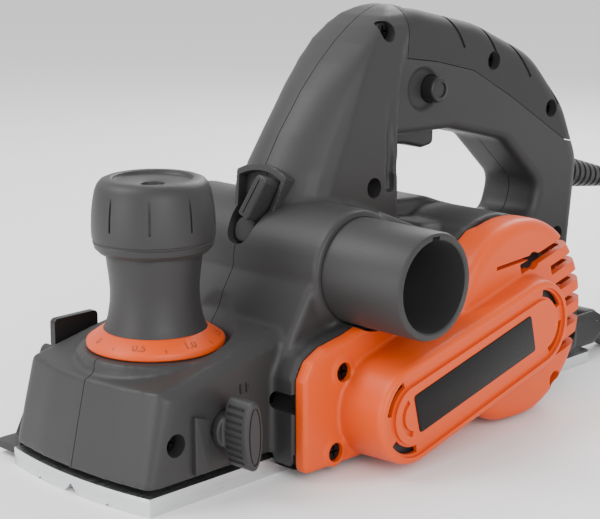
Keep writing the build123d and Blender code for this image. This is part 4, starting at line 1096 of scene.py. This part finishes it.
class PLANER_OT_stage(bpy.types.Operator):
    """Sets the pale floor, the soft lights and the camera"""

    bl_idname = "planer.stage"
    bl_label = "Stage"

    def execute(self, context):
        scene = context.scene
        bm = bmesh.new()
        box(bm, (-4000, 4000), (-4000, 4000), (-20, -0.05))
        floor = piece_of("studio_floor", bm)
        floor.data.materials.append(moulded("laminate, matt", "#f2f2f1", 0.7, 4.0, 0.05, mottle=0.01))
        world = bpy.data.worlds.new("studio")
        world.use_nodes = True
        world.node_tree.nodes["Background"].inputs["Color"].default_value = linear("#fbfbfc")
        world.node_tree.nodes["Background"].inputs["Strength"].default_value = 1.1
        scene.world = world
        lights = [
            ("key", (500, -420, 900), (0, 0, 60), 520, 8.0),
            ("left", (900, -150, 240), (60, 0, 40), 380, 3.0),
            ("fill", (420, 900, 420), (0, 0, 60), 620, 7.0),
            ("rim", (-700, -300, 620), (-60, 0, 100), 500, 6.0),
        ]
        for name, place, aim, size, power in lights:
            light = bpy.data.lights.new(name, "AREA")
            light.size = size * MM
            light.energy = power
            lamp = bpy.data.objects.new(name, light)
            lamp.location = Vector(place) * MM
            way = Vector(aim) * MM - lamp.location
            lamp.rotation_euler = way.to_track_quat("-Z", "Y").to_euler()
            scene.collection.objects.link(lamp)
        camera = bpy.data.objects.new("camera", bpy.data.cameras.new("camera"))
        camera.data.lens = LENS
        camera.data.sensor_width = 36.0
        camera.data.sensor_fit = "HORIZONTAL"
        camera.data.clip_start = 0.05
        camera.location = CAMERA
        camera.rotation_euler = (TARGET - CAMERA).to_track_quat("-Z", "Y").to_euler()
        scene.collection.objects.link(camera)
        scene.camera = camera
        return {"FINISHED"}


OPERATORS = (
    PLANER_OT_stage, PLANER_OT_lead, PLANER_OT_housing, PLANER_OT_cover, PLANER_OT_tube, PLANER_OT_knob,
    PLANER_OT_sole, PLANER_OT_controls, PLANER_OT_fittings,
)


class PLANER_PT_panel(bpy.types.Panel):
    """Lists the planer's sizes, colours and pieces"""

    bl_idname = "PLANER_PT_panel"
    bl_label = "Electric hand planer"
    bl_space_type = "VIEW_3D"
    bl_region_type = "UI"
    bl_category = "Planer"

    def draw(self, context):
        layout = self.layout
        for group in (context.scene.planer_sizes, context.scene.planer_colours):
            for name in group.bl_rna.properties.keys():
                if name not in ("rna_type", "name"):
                    layout.prop(group, name)
        for operator in OPERATORS:
            layout.operator(operator.bl_idname)


CLASSES = (PlanerSizes, PlanerColours) + OPERATORS + (PLANER_PT_panel,)


def register():
    """Registers the classes and the scene's settings."""
    for made in CLASSES:
        bpy.utils.register_class(made)
    bpy.types.Scene.planer_sizes = bpy.props.PointerProperty(type=PlanerSizes)
    bpy.types.Scene.planer_colours = bpy.props.PointerProperty(type=PlanerColours)


def unregister():
    """Takes them away again."""
    del bpy.types.Scene.planer_colours
    del bpy.types.Scene.planer_sizes
    for made in reversed(CLASSES):
        bpy.utils.unregister_class(made)


def main():
    """Builds every piece in order."""
    register()
    for operator in OPERATORS:
        group, name = operator.bl_idname.split(".")
        getattr(getattr(bpy.ops, group), name)()


if __name__ == "__main__":
    main()
